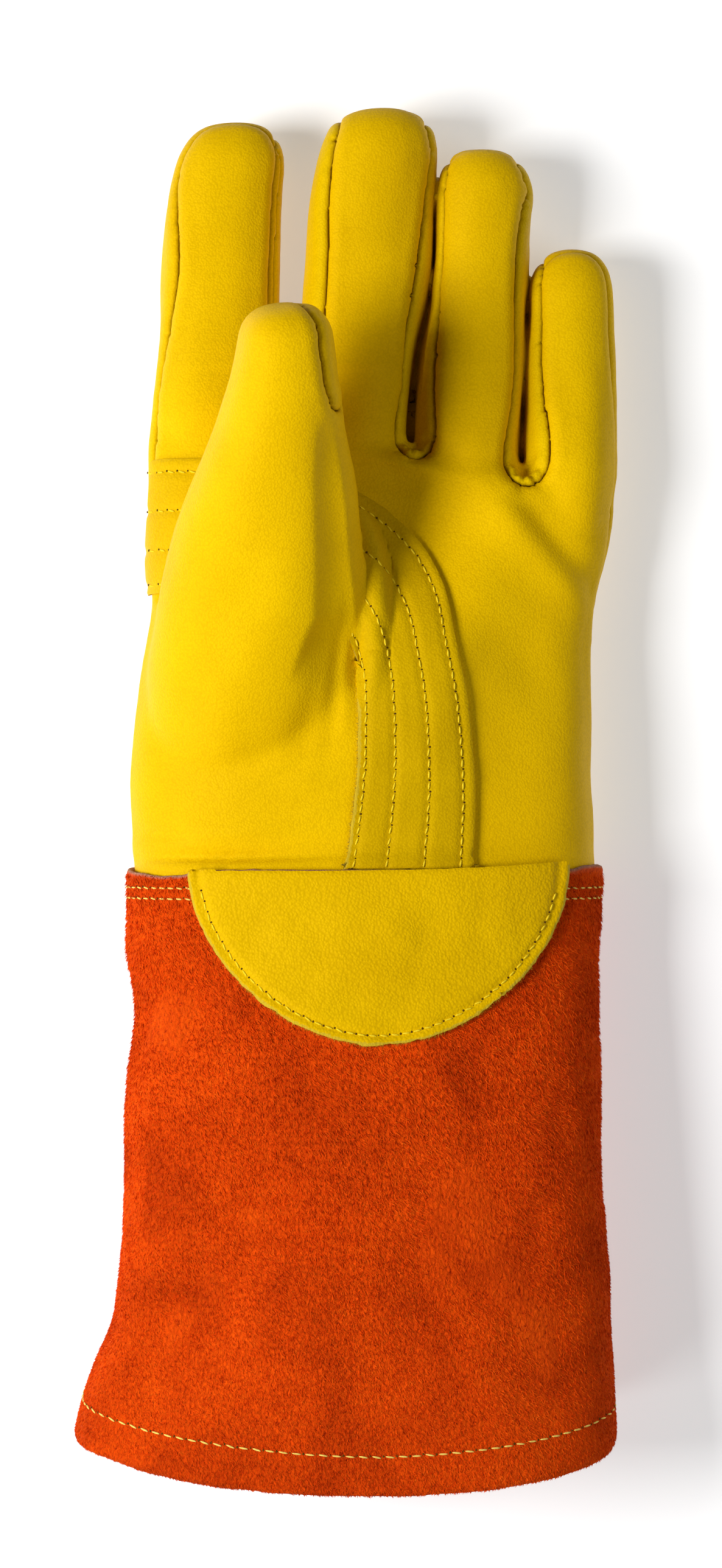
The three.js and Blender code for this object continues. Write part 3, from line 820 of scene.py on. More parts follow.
def softHand(bm):
    points, facing = coordinates(bm), normals(bm)
    onThumb = (thumbField(points) > 0) | (heelField(points) > 0)
    offThumb = smoothStep(-thumbField(points), 0, 2.5)
    depth = dented(points, facing[:, 2], dents) * offThumb * (points[:, 1] < 128)
    depth += dented(points, facing[:, 2], thumbDents) * onThumb
    depth += lumps["wide"] * noiseAt(points, 1 / 24, 1) + lumps["fine"] * noiseAt(points, 1 / 11, 2)
    moveVerts(bm, foldThumb(points))
    settle(bm, coordinates(bm) - facing * depth[:, None])


def sewHand(bm):
    refineNear(bm, seam["refine"])
    points, reach = coordinates(bm), seamReach(bm, 12.0)
    calm = bm.copy()
    relax(calm, seam["calm"])
    facing = normals(calm)
    calm.free()
    groove = np.clip(1 - reach / seam["radius"], 0, 1)
    depth = seam["depth"] * (1 - np.sqrt(np.clip(1 - groove**2, 0, 1)))
    depth -= seam["bulge"] * bell(reach - seam["bulgeAt"], seam["bulgeWidth"])
    pucker = noiseAt(points * np.array([0.25, 1.0, 0.25]), 1 / 2.4, 3)
    depth += seam["pucker"] * pucker * np.exp(-reach / 3.2) * (reach > 0.3)
    for i, (cx, cy, size) in enumerate(gathers):
        dx, dy = points[:, 0] - cx, points[:, 1] - cy
        radius, top = np.hypot(dx, dy) / size, smoothStep(facing[:, 2], 0.1, 0.6)
        folds = np.sin(np.arctan2(dy, dx) * gather["folds"] + gather["turn"] * i) * radius * bell(radius, 0.9)
        folds *= smoothStep(reach, 0.3, 1.6)
        depth += (gather["height"] * folds + gather["pit"] * bell(radius, gather["pitSize"])) * top
    settle(bm, points - facing * depth[:, None])
    # how near each point lies to a seam, for the painted shade in the seam grooves
    markVerts(bm, "seamShade", bell(reach, seam["seamShade"]))


def buildPalmForm():
    bm = bmesh.new()
    loft(bm, palmRings(0))
    return remeshed(bm, hand["palmVoxel"])


softHand(handForm)
patchForm = buildPalmForm()
softHand(patchForm)
cutPanels(handForm)
sewHand(handForm)
print("hand sewn", len(handForm.verts))


# materials
def newGroup(name, inputs, outputs):
    group = bpy.data.node_groups.new(name, "ShaderNodeTree")
    group.interface.new_socket("Vector", in_out="INPUT", socket_type="NodeSocketVector")
    for socket, value in inputs.items():
        made = group.interface.new_socket(socket, in_out="INPUT", socket_type="NodeSocketFloat")
        made.default_value = value
    for socket in outputs:
        group.interface.new_socket(socket, in_out="OUTPUT", socket_type="NodeSocketFloat")
    return group, group.nodes.new("NodeGroupInput").outputs, group.nodes.new("NodeGroupOutput").inputs


# a value is a number, a colour or the socket that it comes from
def fillNode(tree, node, values):
    for key, value in values.items():
        if isinstance(value, bpy.types.NodeSocket):
            tree.links.new(value, node.inputs[key])
        elif isinstance(key, str) and key not in node.inputs:
            setattr(node, key, value)
        else:
            node.inputs[key].default_value = value
    return node


def addNode(tree, kind, values):
    return fillNode(tree, tree.nodes.new(kind), values)


def mathNode(tree, operation, a, b, clamp=False):
    values = {"operation": operation, "use_clamp": clamp, 0: a, 1: b}
    return addNode(tree, "ShaderNodeMath", values).outputs[0]


def mixColor(tree, share, a, b, blend="MIX"):
    values = {"data_type": "RGBA", "blend_type": blend, 0: share, 6: a, 7: b}
    return addNode(tree, "ShaderNodeMix", values).outputs[2]


def noiseNode(tree, vector, scale, detail, roughness=0.5, distortion=0.0, output="Fac"):
    values = {"Vector": vector, "Scale": scale, "Detail": detail, "Roughness": roughness}
    return addNode(tree, "ShaderNodeTexNoise", {**values, "Distortion": distortion}).outputs[output]


def attributeOf(tree, name):
    return addNode(tree, "ShaderNodeAttribute", {"attribute_name": name}).outputs["Fac"]


def bumpOf(tree, height, distance, strength=1.0):
    values = {"Strength": strength, "Distance": distance, "Height": height}
    return addNode(tree, "ShaderNodeBump", values).outputs[0]


def leatherGrainGroup():
    group, given, result = newGroup("leatherGrain", {"Cell Size": 700.0, "Wrinkle": 0.5}, ("Height", "Tone"))
    vector = given["Vector"]
    warp = noiseNode(group, vector, 260.0, 3.0, output="Color")
    offset = addNode(group, "ShaderNodeVectorMath", {"operation": "SCALE", "Vector": warp, "Scale": 0.0011})
    bent = addNode(group, "ShaderNodeVectorMath", {"operation": "ADD", 0: vector, 1: offset.outputs[0]})
    values = {"feature": "SMOOTH_F1", "Smoothness": 0.35, "Vector": bent.outputs[0]}
    cells = addNode(group, "ShaderNodeTexVoronoi", {**values, "Scale": given["Cell Size"]})
    pebble = mathNode(group, "SUBTRACT", 1.0, cells.outputs["Distance"])
    rough = mathNode(group, "MULTIPLY", noiseNode(group, vector, 120.0, 5.0, 0.6), given["Wrinkle"])
    group.links.new(mathNode(group, "ADD", pebble, rough), result["Height"])
    group.links.new(noiseNode(group, vector, 22.0, 4.0, 0.55), result["Tone"])
    return group


def suedeNapGroup():
    group, given, result = newGroup("suedeNap", {"Tuft Scale": 1300.0}, ("Height", "Tuft", "Patch"))
    values = {"Rotation": (0.0, 0.0, 0.3), "Scale": (1.0, 0.62, 1.0), "Vector": given["Vector"]}
    lean = addNode(group, "ShaderNodeMapping", values).outputs[0]
    tuft = noiseNode(group, lean, given["Tuft Scale"], 4.0, 0.62, 1.1)
    pits = addNode(group, "ShaderNodeTexVoronoi", {"Scale": 1100.0, "Vector": lean}).outputs["Distance"]
    height = mathNode(group, "ADD", tuft, mathNode(group, "MULTIPLY", pits, 0.5))
    group.links.new(height, result["Height"])
    group.links.new(tuft, result["Tuft"])
    group.links.new(noiseNode(group, given["Vector"], 38.0, 5.0, 0.6, 0.6), result["Patch"])
    return group


leatherGrain = leatherGrainGroup()
suedeNap = suedeNapGroup()


def rampOf(tree, fac, stops):
    node = tree.nodes.new("ShaderNodeValToRGB")
    ramp = node.color_ramp
    while len(ramp.elements) < len(stops):
        ramp.elements.new(0.5)
    for element, (place, color) in zip(ramp.elements, stops):
        element.position = place
        element.color = (*color, 1)
    tree.links.new(fac, node.inputs[0])
    return node.outputs[0]


def emptyMaterial(name):
    material = bpy.data.materials.new(name)
    material.use_nodes = True
    tree = material.node_tree
    spot = tree.nodes.new("ShaderNodeTexCoord").outputs["Object"]
    return material, tree, tree.nodes["Principled BSDF"], spot


rawTone = (0.56, 0.38, 0.02)


def leatherMaterial(name, light, deep, cell, relief, wrinkle):
    material, tree, shader, spot = emptyMaterial(name)
    values = {"node_tree": leatherGrain, "Cell Size": cell, "Wrinkle": wrinkle, "Vector": spot}
    grain = addNode(tree, "ShaderNodeGroup", values).outputs
    patches = rampOf(tree, grain["Tone"], [(0.3, (0, 0, 0)), (0.7, (1, 1, 1))])
    color = mixColor(tree, patches, (*deep, 0.0003, 1), (*light, 0.0004, 1))
    pores = rampOf(tree, grain["Height"], [(0.45, (0.9, 0.88, 0.8)), (0.95, (1, 1, 1))])
    color = mixColor(tree, 1.0, color, pores, "MULTIPLY")
    # the leather darkens towards a dark brown along the seams: painted shade in the grooves, over the real
    # grooves of the geometry
    seamShadeShare = mathNode(tree, "MULTIPLY", attributeOf(tree, "seamShade"), 0.5)
    color = mixColor(tree, seamShadeShare, color, (0.14, 0.06, 0.0005, 1))
    bare = mathNode(tree, "ADD", attributeOf(tree, "rim"), noiseNode(tree, spot, 900.0, 2.0))
    bare = mathNode(tree, "MULTIPLY", mathNode(tree, "SUBTRACT", bare, 0.85), 5.0, clamp=True)
    values = {
        "Base Color": mixColor(tree, bare, color, (*rawTone, 1)),
        "Normal": bumpOf(tree, grain["Height"], relief),
        "Roughness": rampOf(tree, grain["Tone"], [(0.3, (0.5, 0.5, 0.5)), (0.75, (0.62, 0.62, 0.62))]),
        "Specular IOR Level": 0.2,
        "Specular Tint": (1.0, 0.72, 0.05, 1),
    }
    fillNode(tree, shader, values)
    return material


# tones from the darkest to the lightest suede, and what the foot, middle and tip of a tuft make of them: the
# foot is darkened as painted shade among the fibres, the tip lightened as a painted highlight
suedeTones = [(0.6, 0.043, 0.001), (0.79, 0.064, 0.0013), (0.93, 0.088, 0.002)]
fibreShadeToHighlight = [(0.0, (0.35, 0.22, 0.2)), (0.45, (0.9, 0.9, 0.9)), (1.0, (1.0, 2.1, 5.0))]
# the suede skin's colour follows the tuft noise that also raises its bump: its own mottled tone, darker in
# the hollows as painted shade and lighter on the tufts as painted highlight
tuftShadeStops = [(0.28, (0.3, 0.12, 0.1)), (0.42, (0.85, 0.8, 0.8)), (0.66, (1.0, 1.2, 1.3))]


def suedeMaterial(name, fibre):
    material, tree, shader, spot = emptyMaterial(name)
    nap = addNode(tree, "ShaderNodeGroup", {"node_tree": suedeNap, "Vector": spot}).outputs
    base = rampOf(tree, nap["Patch"], list(zip((0.3, 0.5, 0.72), suedeTones)))
    # fibres darken at the foot as painted shade and lighten at the tip as a painted highlight
    if fibre:
        tufts = rampOf(tree, attributeOf(tree, "shade"), fibreShadeToHighlight)
    # the skin darkens in the hollows of its nap as painted shade and lightens on the tufts as painted
    # highlight
    else:
        tufts = rampOf(tree, nap["Tuft"], tuftShadeStops)
    color = mixColor(tree, 1.0, base, tufts, "MULTIPLY")
    values = {
        "Base Color": mixColor(tree, attributeOf(tree, "rim"), color, (0.5, 0.26, 0.17, 1)),
        "Roughness": 1.0,
        "Specular IOR Level": 0.05,
        "Sheen Weight": 0.1,
        "Sheen Roughness": 0.5,
        "Sheen Tint": (1.0, 0.2, 0.03, 1),
    }
    fillNode(tree, shader, values)
    if not fibre:
        fillNode(tree, shader, {"Normal": bumpOf(tree, nap["Height"], 0.0008)})
    return material


def plainMaterial(name, color, roughness, fleck):
    material, tree, shader, spot = emptyMaterial(name)
    speck = noiseNode(tree, spot, 1400.0, 3.0)
    dark = tuple(c * (1 - 2 * fleck) for c in color)
    values = {
        "Base Color": rampOf(tree, speck, [(0.35, dark), (0.65, color)]),
        "Normal": bumpOf(tree, speck, 0.0002, 0.6),
        "Roughness": roughness,
        "Specular IOR Level": 0.15,
    }
    fillNode(tree, shader, values)
    return material


# red and green of the lighter and the darker tone, cell size, relief in metres and wrinkles
leatherRows = {
    "hand": ((0.83, 0.52), (0.75, 0.45), 1800.0, 0.00008, 0.4),
    # the fourchettes take a copy of the hand leather with less red, so that they look olive where they lie in
    # shade between the fingers: a painted shade tint
    "shadeTintedGusset": ((0.79, 0.52), (0.71, 0.45), 1800.0, 0.00008, 0.4),
    # the crescent patch's leather is darkened as painted shade, for the thumb's shade over it; the row after
    # it is the same leather lit, for the patch's corner by the index finger
    "patch": ((0.62, 0.39), (0.55, 0.33), 1700.0, 0.00009, 0.4),
    "strip": ((0.75, 0.47), (0.68, 0.41), 1700.0, 0.00009, 0.4),
    "moon": ((0.76, 0.47), (0.69, 0.41), 1450.0, 0.00014, 0.35),
}
leathers = {name: leatherMaterial(name + "Leather", *row) for name, row in leatherRows.items()}
rawEdge = plainMaterial("rawEdge", rawTone, 0.95, 0.2)
suede = suedeMaterial("suede", False)
suedeFibre = suedeMaterial("suedeFibre", True)
threadMaterial = plainMaterial("thread", (0.9, 0.66, 0.015), 0.7, 0.08)
cuffThread = plainMaterial("cuffThread", (0.9, 0.66, 0.13), 0.7, 0.08)
# needle holes are drawn as flat dark discs: painted shade where the holes lie
holeShadeMaterial = plainMaterial("needleHoleShade", (0.1, 0.045, 0.001), 0.9, 0.1)
print("materials ready")


def place(name, mesh, materials, nodes, slot):
    for material in materials:
        mesh.materials.append(material)
    mesh.transform(toFrame)
    piece = added(name, mesh)
    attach(piece, "root")
    if nodes:
        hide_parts(*nodes)
    return piece


def smoothShaded(bm, name):
    mesh = meshOf(bm, name)
    for polygon in mesh.polygons:
        polygon.use_smooth = True
    return mesh


def walled(piece, thickness, rim=0):
    modifier = piece.modifiers.new("wall", "SOLIDIFY")
    modifier.thickness = thickness * 0.001
    modifier.offset = -1
    modifier.material_offset_rim = rim


def buildPanels(bm):
    for i, name in enumerate(panelNames):
        part = bm.copy()
        layer = part.faces.layers.int["panel"]
        bmesh.ops.delete(part, geom=[f for f in part.faces if f[layer] != i], context="FACES")
        mesh = smoothShaded(part, name + "_skin")
        # fourchettes take the copy of the leather tinted as painted shade
        leather = leathers["shadeTintedGusset" if name.startswith("fourchette") else "hand"]
        piece = place(name + "_skin", mesh, [leather], [name], "grain_leather")
        walled(piece, hand["leather"])
        print(name, len(mesh.polygons))


buildPanels(handForm)


def cuffLean(point, below):
    share = float(smoothStep(below, cuff["length"] * 0.5, cuff["length"]))
    x, y, z = point
    lean = math.tan(math.radians(cuff["hemTilt"])) * (z - 0.43 * cuff["thickness"])
    rise = 0.8 + 5 * min(abs(x - 4.5) / 66, 1.1) ** 1.5
    return x, y + share * (rise - lean), z


def cuffRing(below, grow, count):
    return [cuffLean((x, -below, z), below) for x, z in cuffSection(below, grow, count)]


def buildCuffForm():
    bm = bmesh.new()
    count, wall, hem = 130, cuff["wall"], cuff["length"]
    rings = []
    for i in range(71):
        rings.append(cuffRing(hem * i / 70, 0, count))
    for turn in (30, 60, 90, 120, 150):
        angle = math.radians(turn)
        drop = wall * math.sin(angle)
        inward = -wall * (1 - math.cos(angle))
        ring = cuffRing(hem, inward, count)
        rings.append([(x, y - drop, z) for x, y, z in ring])
    for below in (hem, hem - 3, hem - 6, hem - cuff["hemTurn"]):
        rings.append(cuffRing(below, -2 * wall, count))
    for i in range(41):
        rings.append(cuffRing((hem - cuff["hemTurn"] - 0.6) * (1 - i / 40), -wall, count))
    loft(bm, rings, closed=False)
    bmesh.ops.remove_doubles(bm, verts=bm.verts, dist=0.001)
    ends = [e for e in bm.edges if e.is_boundary]
    bmesh.ops.bridge_loops(bm, edges=ends)
    bmesh.ops.recalc_face_normals(bm, faces=bm.faces)
    bmesh.ops.subdivide_edges(bm, edges=bm.edges, cuts=1, use_grid_fill=True)
    relax(bm, 3)
    return bm


cuffDents = [
    (-47.0, -34.0, 40, 30, 10, 2.2),
    (-38.0, -104.0, 62, 36, 13, 2.0),
    (-62.0, -118.0, 75, 30, 7, -1.4),
    (22.0, -80.0, 84, 60, 17, 1.6),
    (46.0, -120.0, 100, 36, 11, 1.7),
    (-10.0, -128.0, 95, 26, 14, -1.0),
    (10.0, -60.0, 10, 40, 12, -0.8),
]


# how the raw top edge of the cuff leaves a straight line on the palm side
def topShift(points):
    low = -1.8 * bell(points[:, 0] + 51, 9)
    high = 0.9 * smoothStep(points[:, 0], 52, 56)
    ripple = 0.25 * noiseAt(points * np.array([1, 0, 0]), 1 / 3, 10)
    return (low + high + ripple) * smoothStep(points[:, 2], 14, 24) * smoothStep(points[:, 1], -14, 0)


def shapeCuff(bm):
    points, facing = coordinates(bm), normals(bm)
    depth = dented(points, facing[:, 2], cuffDents)
    depth += lumps["cuffWide"] * noiseAt(points, 1 / 26, 5) + lumps["cuffFine"] * noiseAt(points, 1 / 9, 6)
    places = points - facing * depth[:, None] * smoothStep(-points[:, 1], 4, 16)[:, None]
    grit = lumps["cuffGrit"] * noiseAt(points, 1 / 1.1, 7)
    places += facing * grit[:, None]
    places[:, 1] += topShift(places)
    settle(bm, places)


cuffForm = buildCuffForm()
shapeCuff(cuffForm)
cuffSkin = cuffForm.copy()
cuffTop = coordinates(cuffSkin)[:, 1] - topShift(coordinates(cuffSkin))
markVerts(cuffSkin, "rim", smoothStep(cuffTop, -1.2, -0.8))
place("cuff_suede", smoothShaded(cuffSkin, "cuff_suede"), [suede], ["cuff"], "suede")
print("cuff ready")


# fibres: thin spikes with three sides, a power of two of them on each piece
nap = {
    "doublings": 16,
    "length": 1.25,
    "width": 0.34,
    "lean": 24,
    "turn": 34,
    "swirl": 60,
    "slant": 12,
    "sink": 0.12,
    "clump": 1.1,  # size of the tufts that share a tone
    "mottle": 0.24,  # how much their tones differ
    "top": -1.7,
}


def spikes(name, spots, ways, lengths, width, seed):
    bm = bmesh.new()
    bmesh.ops.create_cone(bm, segments=3, radius1=1, radius2=0, depth=1)
    mesh = meshOf(bm, name)
    while len(mesh.vertices) < 4 * len(spots):
        bm = bmesh.new()
        bm.from_mesh(mesh)
        bm.from_mesh(mesh)
        bpy.data.meshes.remove(mesh)
        mesh = meshOf(bm, name)
    rand = np.random.default_rng(seed)
    across = np.cross(ways, rand.standard_normal(ways.shape))
    across *= width / 2 / np.linalg.norm(across, axis=1)[:, None]
    over = np.cross(ways, across)
    places = np.empty((len(spots), 4, 3))
    for i in range(3):
        turn = 2 * math.pi * i / 3
        places[:, i] = spots + across * math.cos(turn) + over * math.sin(turn)
    places[:, 3] = spots + ways * lengths[:, None]
    places[:, :, 2] = np.maximum(places[:, :, 2], floorGap)
    mesh.vertices.foreach_set("co", places.astype(np.float32).ravel())
    # the feet of the spikes are dark as painted shade among the fibres and their tips light as painted
    # highlights, with a tone that differs at random and is shared with their neighbours
    shade = np.empty((len(spots), 4), np.float32)
    shade[:, :3] = 0.2 + 0.3 * rand.random(len(spots))[:, None]
    shade[:, 3] = 0.45 + 0.55 * rand.random(len(spots)) ** 1.5
    shade += nap["mottle"] * noiseAt(spots, 1 / nap["clump"], 12).astype(np.float32)[:, None]
    attribute = mesh.attributes.new("shade", "FLOAT", "POINT")
    attribute.data.foreach_set("value", shade.ravel())
    mesh.update()
    return mesh


def scattered(bm, keep, count, seed):
    rand = np.random.default_rng(seed)
    bm.normal_update()
    triangles = bm.calc_loop_triangles()
    corners = np.array([[loop.vert.co[:] for loop in t] for t in triangles])
    facing = np.array([[loop.vert.normal[:] for loop in t] for t in triangles])
    area = np.linalg.norm(np.cross(corners[:, 1] - corners[:, 0], corners[:, 2] - corners[:, 0]), axis=1)
    area *= keep(corners.mean(1), facing.mean(1))
    pick = rand.choice(len(area), count, p=area / area.sum())
    a, b = rand.random(count), rand.random(count)
    a, b = np.where(a + b > 1, 1 - a, a), np.where(a + b > 1, 1 - b, b)
    share = np.stack([1 - a - b, a, b], 1)[:, :, None]
    return (corners[pick] * share).sum(1), (facing[pick] * share).sum(1)


def combed(spots, facing, seed):
    rand = np.random.default_rng(seed)
    down = np.array([0.0, -1.0, 0.0]) + facing * facing[:, 1:2]
    down /= np.linalg.norm(down, axis=1)[:, None]
    side = np.cross(facing, down)
    turn = nap["slant"] + nap["turn"] * rand.standard_normal(len(spots))
    turn += nap["swirl"] * noiseAt(spots, 1 / 16, 9)
    turn, lean = np.radians(turn), np.radians(nap["lean"] * (0.4 + 1.2 * rand.random(len(spots))))
    way = down * np.cos(turn)[:, None] + side * np.sin(turn)[:, None]
    return way * np.cos(lean)[:, None] + facing * np.sin(lean)[:, None]


# the cuff's outer side faces away from the line along its middle
def outside(centres, facing):
    middle = np.array([4.0, 0.0, 24.0])
    outward = np.einsum("ij,ij->i", facing, (centres - middle) * np.array([1, 0, 1]))
    return (outward > 0) & (centres[:, 1] < nap["top"])


def palmSide(centres, facing):
    bare = (moonField(centres) < -0.5) | (centres[:, 2] < 20)
    return outside(centres, facing) * bare * (facing[:, 2] > -0.05)


def backSide(centres, facing):
    return outside(centres, facing) * (facing[:, 2] <= -0.05)


def growNap(name, keep, doublings, seed):
    spots, facing = scattered(cuffForm, keep, 2**doublings, seed)
    lengths = nap["length"] * (0.5 + 0.8 * np.random.default_rng(seed).random(len(spots)))
    spots -= facing * nap["sink"]
    mesh = spikes(name, spots, combed(spots, facing, seed), lengths, nap["width"], seed)
    place(name, mesh, [suedeFibre], [], "suede")
    print(name, len(mesh.polygons))


def patchOf(form, field, lowest):
    bm = form.copy()
    near = field(coordinates(bm))
    bmesh.ops.delete(bm, geom=[v for v, d in zip(bm.verts, near) if d < -4], context="VERTS")
    bm.normal_update()
    bmesh.ops.delete(bm, geom=[f for f in bm.faces if f.normal.z < lowest], context="FACES")
    bmesh.ops.delete(bm, geom=[v for v in bm.verts if not v.link_faces], context="VERTS")
    cutAlong(bm, field(coordinates(bm)))
    inside = field(np.array([f.calc_center_median()[:] for f in bm.faces]))
    bmesh.ops.delete(bm, geom=[f for f, d in zip(bm.faces, inside) if d < 0], context="FACES")
    rim = {}
    for e in bm.edges:
        if e.is_boundary:
            rim.setdefault(e.verts[0], []).append(e.verts[1])
            rim.setdefault(e.verts[1], []).append(e.verts[0])
    for i in range(2):
        moved = {v: (v.co + (n[0].co + n[1].co) / 2) / 2 for v, n in rim.items() if len(n) == 2}
        for v, co in moved.items():
            v.co = co
    bmesh.ops.subdivide_edges(bm, edges=bm.edges[:], cuts=1, use_grid_fill=True)
    bmesh.ops.triangulate(bm, faces=[f for f in bm.faces if len(f.verts) > 4])
    return bm


def liftPatch(bm, rows, edgeField, lift, press):
    points, facing = coordinates(bm), normals(bm)
    height = np.full(len(points), float(lift))
    for row in rows:
        height -= press * bell(lineDistance(points, row), 1.1)
    edge = edgeField(points)
    height -= 0.35 * np.exp(-edge / 0.6)
    height += 0.16 * noiseAt(points, 1 / 7, 8)
    moveVerts(bm, points + facing * height[:, None])


crescentPatch = {
    "bare": 0.75,
    "lift": 1.75,
    "press": 0.42,
    "wall": 1.4,
    "rows": (0.095, 0.385, 0.68, 0.94),
    "pitch": 2.8,
    # the patch is darkened as painted shade, and left of this x and above this y it takes the lit copy of its
    # leather, as painted light
    "litCorner": (-38, 40),  # left of this x and above this y
}


# where the cut edge of the patches shows bare
def bareCrescent(points):
    reach = lineDistance(points, crescentLine(1)) + 4 * smoothStep(points[:, 1], 40, 50)
    return bell(reach, crescentPatch["bare"])


crescentStitches = [crescentLine(share, 160) for share in crescentPatch["rows"]]
crescentForm = patchOf(patchForm, crescentField, 0.12)
markVerts(crescentForm, "rim", bareCrescent(coordinates(crescentForm)))
liftPatch(crescentForm, crescentStitches, crescentField, crescentPatch["lift"], crescentPatch["press"])

halfMoon = {
    "shift": 0.053,
    "half": 47.7,
    "depth": 44.0,
    "cut": -1.2,  # where the skin is cut before its top edge is raised to left and right
    "left": -0.5,
    "right": 1.9,
    "bare": 0.62,
    "inset": 2.5,
    "lift": 1.9,
    "press": 0.5,
    "wall": 1.5,
    "pitch": 2.8,
    "sewn": -5.5,
}


def moonLine(inset, count=90):
    points = []
    for i in range(count + 1):
        angle = math.pi * i / count
        c, sn = math.cos(angle), math.sin(angle)
        x = halfMoon["shift"] * halfHand + (halfMoon["half"] - inset) * math.copysign(abs(c) ** 1.08, c)
        points.append((x, -(halfMoon["depth"] - inset) * sn**1.08))
    return points


def moonField(points):
    line = moonLine(0)
    outline = [(line[0][0], halfMoon["cut"])] + line[1:-1] + [(line[-1][0], halfMoon["cut"])]
    return insideOutline(points, outline)


def raiseTop(bm):
    points = coordinates(bm)
    along = (points[:, 0] + halfMoon["half"] - 2.5) / (2 * halfMoon["half"])
    rise = halfMoon["left"] + (halfMoon["right"] - halfMoon["left"]) * np.clip(along, 0, 1) ** 4
    points[:, 1] += (rise - halfMoon["cut"]) * smoothStep(points[:, 1], -9, halfMoon["cut"])
    moveVerts(bm, points)


def bareMoon(points):
    return bell(lineDistance(points, moonLine(0)), halfMoon["bare"]) * (points[:, 1] < -2)


moonForm = patchOf(cuffForm, moonField, 0.3)
markVerts(moonForm, "rim", bareMoon(coordinates(moonForm)))
liftPatch(moonForm, [moonLine(halfMoon["inset"])], moonField, halfMoon["lift"], halfMoon["press"])
raiseTop(moonForm)
left, low = crescentPatch["litCorner"]
for node, form, wall, leather in (
    ("palm_patch", crescentForm, crescentPatch["wall"], leathers["patch"]),
    ("wrist_patch", moonForm, halfMoon["wall"], leathers["moon"]),
):
    name, skin = node + "_skin", form.copy()
    for edge in skin.edges:
        edge.smooth = not edge.is_boundary
    mesh = smoothShaded(skin, name)
    for polygon in mesh.polygons:
        # polygons of the corner by the index finger take the lit copy of the leather, the others the copy
        # darkened as painted shade
        polygon.material_index = 2 if polygon.center.x < left and polygon.center.y > low else 0
    piece = place(name, mesh, [leather, rawEdge, leathers["strip"], rawEdge], [node], "patch_leather")
    walled(piece, wall, 1)
    print(name, len(mesh.polygons))

growNap("cuff_nap_palm", palmSide, nap["doublings"], 1)
growNap("cuff_nap_back", backSide, nap["doublings"] - 2, 2)

# loose fibres of the bare edges
fuzz = {"length": 0.9, "width": 0.13, "tuft": 2.2, "tufts": [(-4.1, -45.2), (4.2, -45.6)], "perTuft": 40}


def alongRim(bm, keep, count, seed):
    rand = np.random.default_rng(seed)
    bm.normal_update()
    edges = [e for e in bm.edges if e.is_boundary and keep(e.verts[0].co)]
    lengths = np.array([e.calc_length() for e in edges])
    rows = []
    for i in rand.choice(len(edges), count, p=lengths / lengths.sum()):
        a, b = edges[i].verts
        spot = a.co.lerp(b.co, rand.random())
        facing = a.normal.lerp(b.normal, 0.5).normalized()
        out = (b.co - a.co).cross(facing).normalized()
        if out.dot(spot - edges[i].link_faces[0].calc_center_median()) < 0:
            out = -out
        rows.append((spot - facing * rand.uniform(0.1, 1.2), facing, out, (b.co - a.co).normalized()))
    return (np.array([row[i][:] for row in rows]) for i in range(4))


def growFuzz(name, bm, keep, doublings, seed, tufts=()):
    rand = np.random.default_rng(seed)
    spots, facing, out, along = alongRim(bm, keep, 2**doublings, seed)
    count = len(spots)
    ways = out + facing * rand.uniform(-0.3, 0.6, (count, 1)) + along * rand.normal(0, 0.7, (count, 1))
    lengths = fuzz["length"] * (0.4 + rand.random(count) ** 3)
    for i, (x, y) in enumerate(tufts):
        part = slice(i * fuzz["perTuft"], (i + 1) * fuzz["perTuft"])
        near = int(np.argmin(np.hypot(spots[:, 0] - x, spots[:, 1] - y)))
        spots[part] = spots[near] + rand.normal(0, 0.5, (fuzz["perTuft"], 3)) * np.array([1, 0.6, 0.3])
        ways[part] = np.array([0, -1, 0.2]) + rand.normal(0, 0.45, (fuzz["perTuft"], 3))
        lengths[part] = fuzz["tuft"] * (0.4 + 0.6 * rand.random(fuzz["perTuft"]))
    ways /= np.linalg.norm(ways, axis=1)[:, None]
    mesh = spikes(name, spots, ways, lengths, fuzz["width"], seed)
    place(name, mesh, [rawEdge], [], "patch_leather")
    print(name, len(mesh.polygons))


def belowWrist(co):
    return co.y < -1.5


def innerCrescent(co):
    return lineDistance(np.array([co[:]]), crescentLine(1))[0] < 2 and co.y < 46


growFuzz("wrist_patch_fuzz", moonForm, belowWrist, 12, 3, fuzz["tufts"])
growFuzz("palm_patch_fuzz", crescentForm, innerCrescent, 10, 4)

# stitches: every row is a list of points on the leather with the way it faces
stitch = {
    "width": 0.5,
    "height": 0.46,
    "share": 0.74,  # of the pitch
    "bedded": 0.12,
    "uneven": 0.04,
    "slant": (-0.28, -0.02),
    # size of the dark disc painted as shade in each needle hole
    "holeShade": 0.34,
    "sink": 0.02,
}


def alongLine(points, pitch):
    spots, carried = [], pitch / 2
    for a, b in zip(points, points[1:]):
        step = (Vector(b) - Vector(a)).length
        while carried <= step and step > 0:
            spots.append(Vector(a).lerp(Vector(b), carried / step))
            carried += pitch
        carried -= step
    return spots


def droppedOn(tree, line, pitch, top=90):
    rows = []
    for spot in alongLine(line, pitch):
        hit, facing = tree.ray_cast(Vector((spot.x, spot.y, top)), Vector((0, 0, -1)))[:2]
        rows.append((hit, facing) if hit else None)
    return rows


def cuffRow(tree, below, pitch, keep):
    ring = [Vector(p) for p in cuffRing(below, 0.0, 240)]
    rows = []
    for spot in alongLine(ring + ring[:1], pitch):
        hit, facing = tree.find_nearest(spot)[:2]
        rows.append((hit, facing) if hit and keep(hit) else None)
    return rows


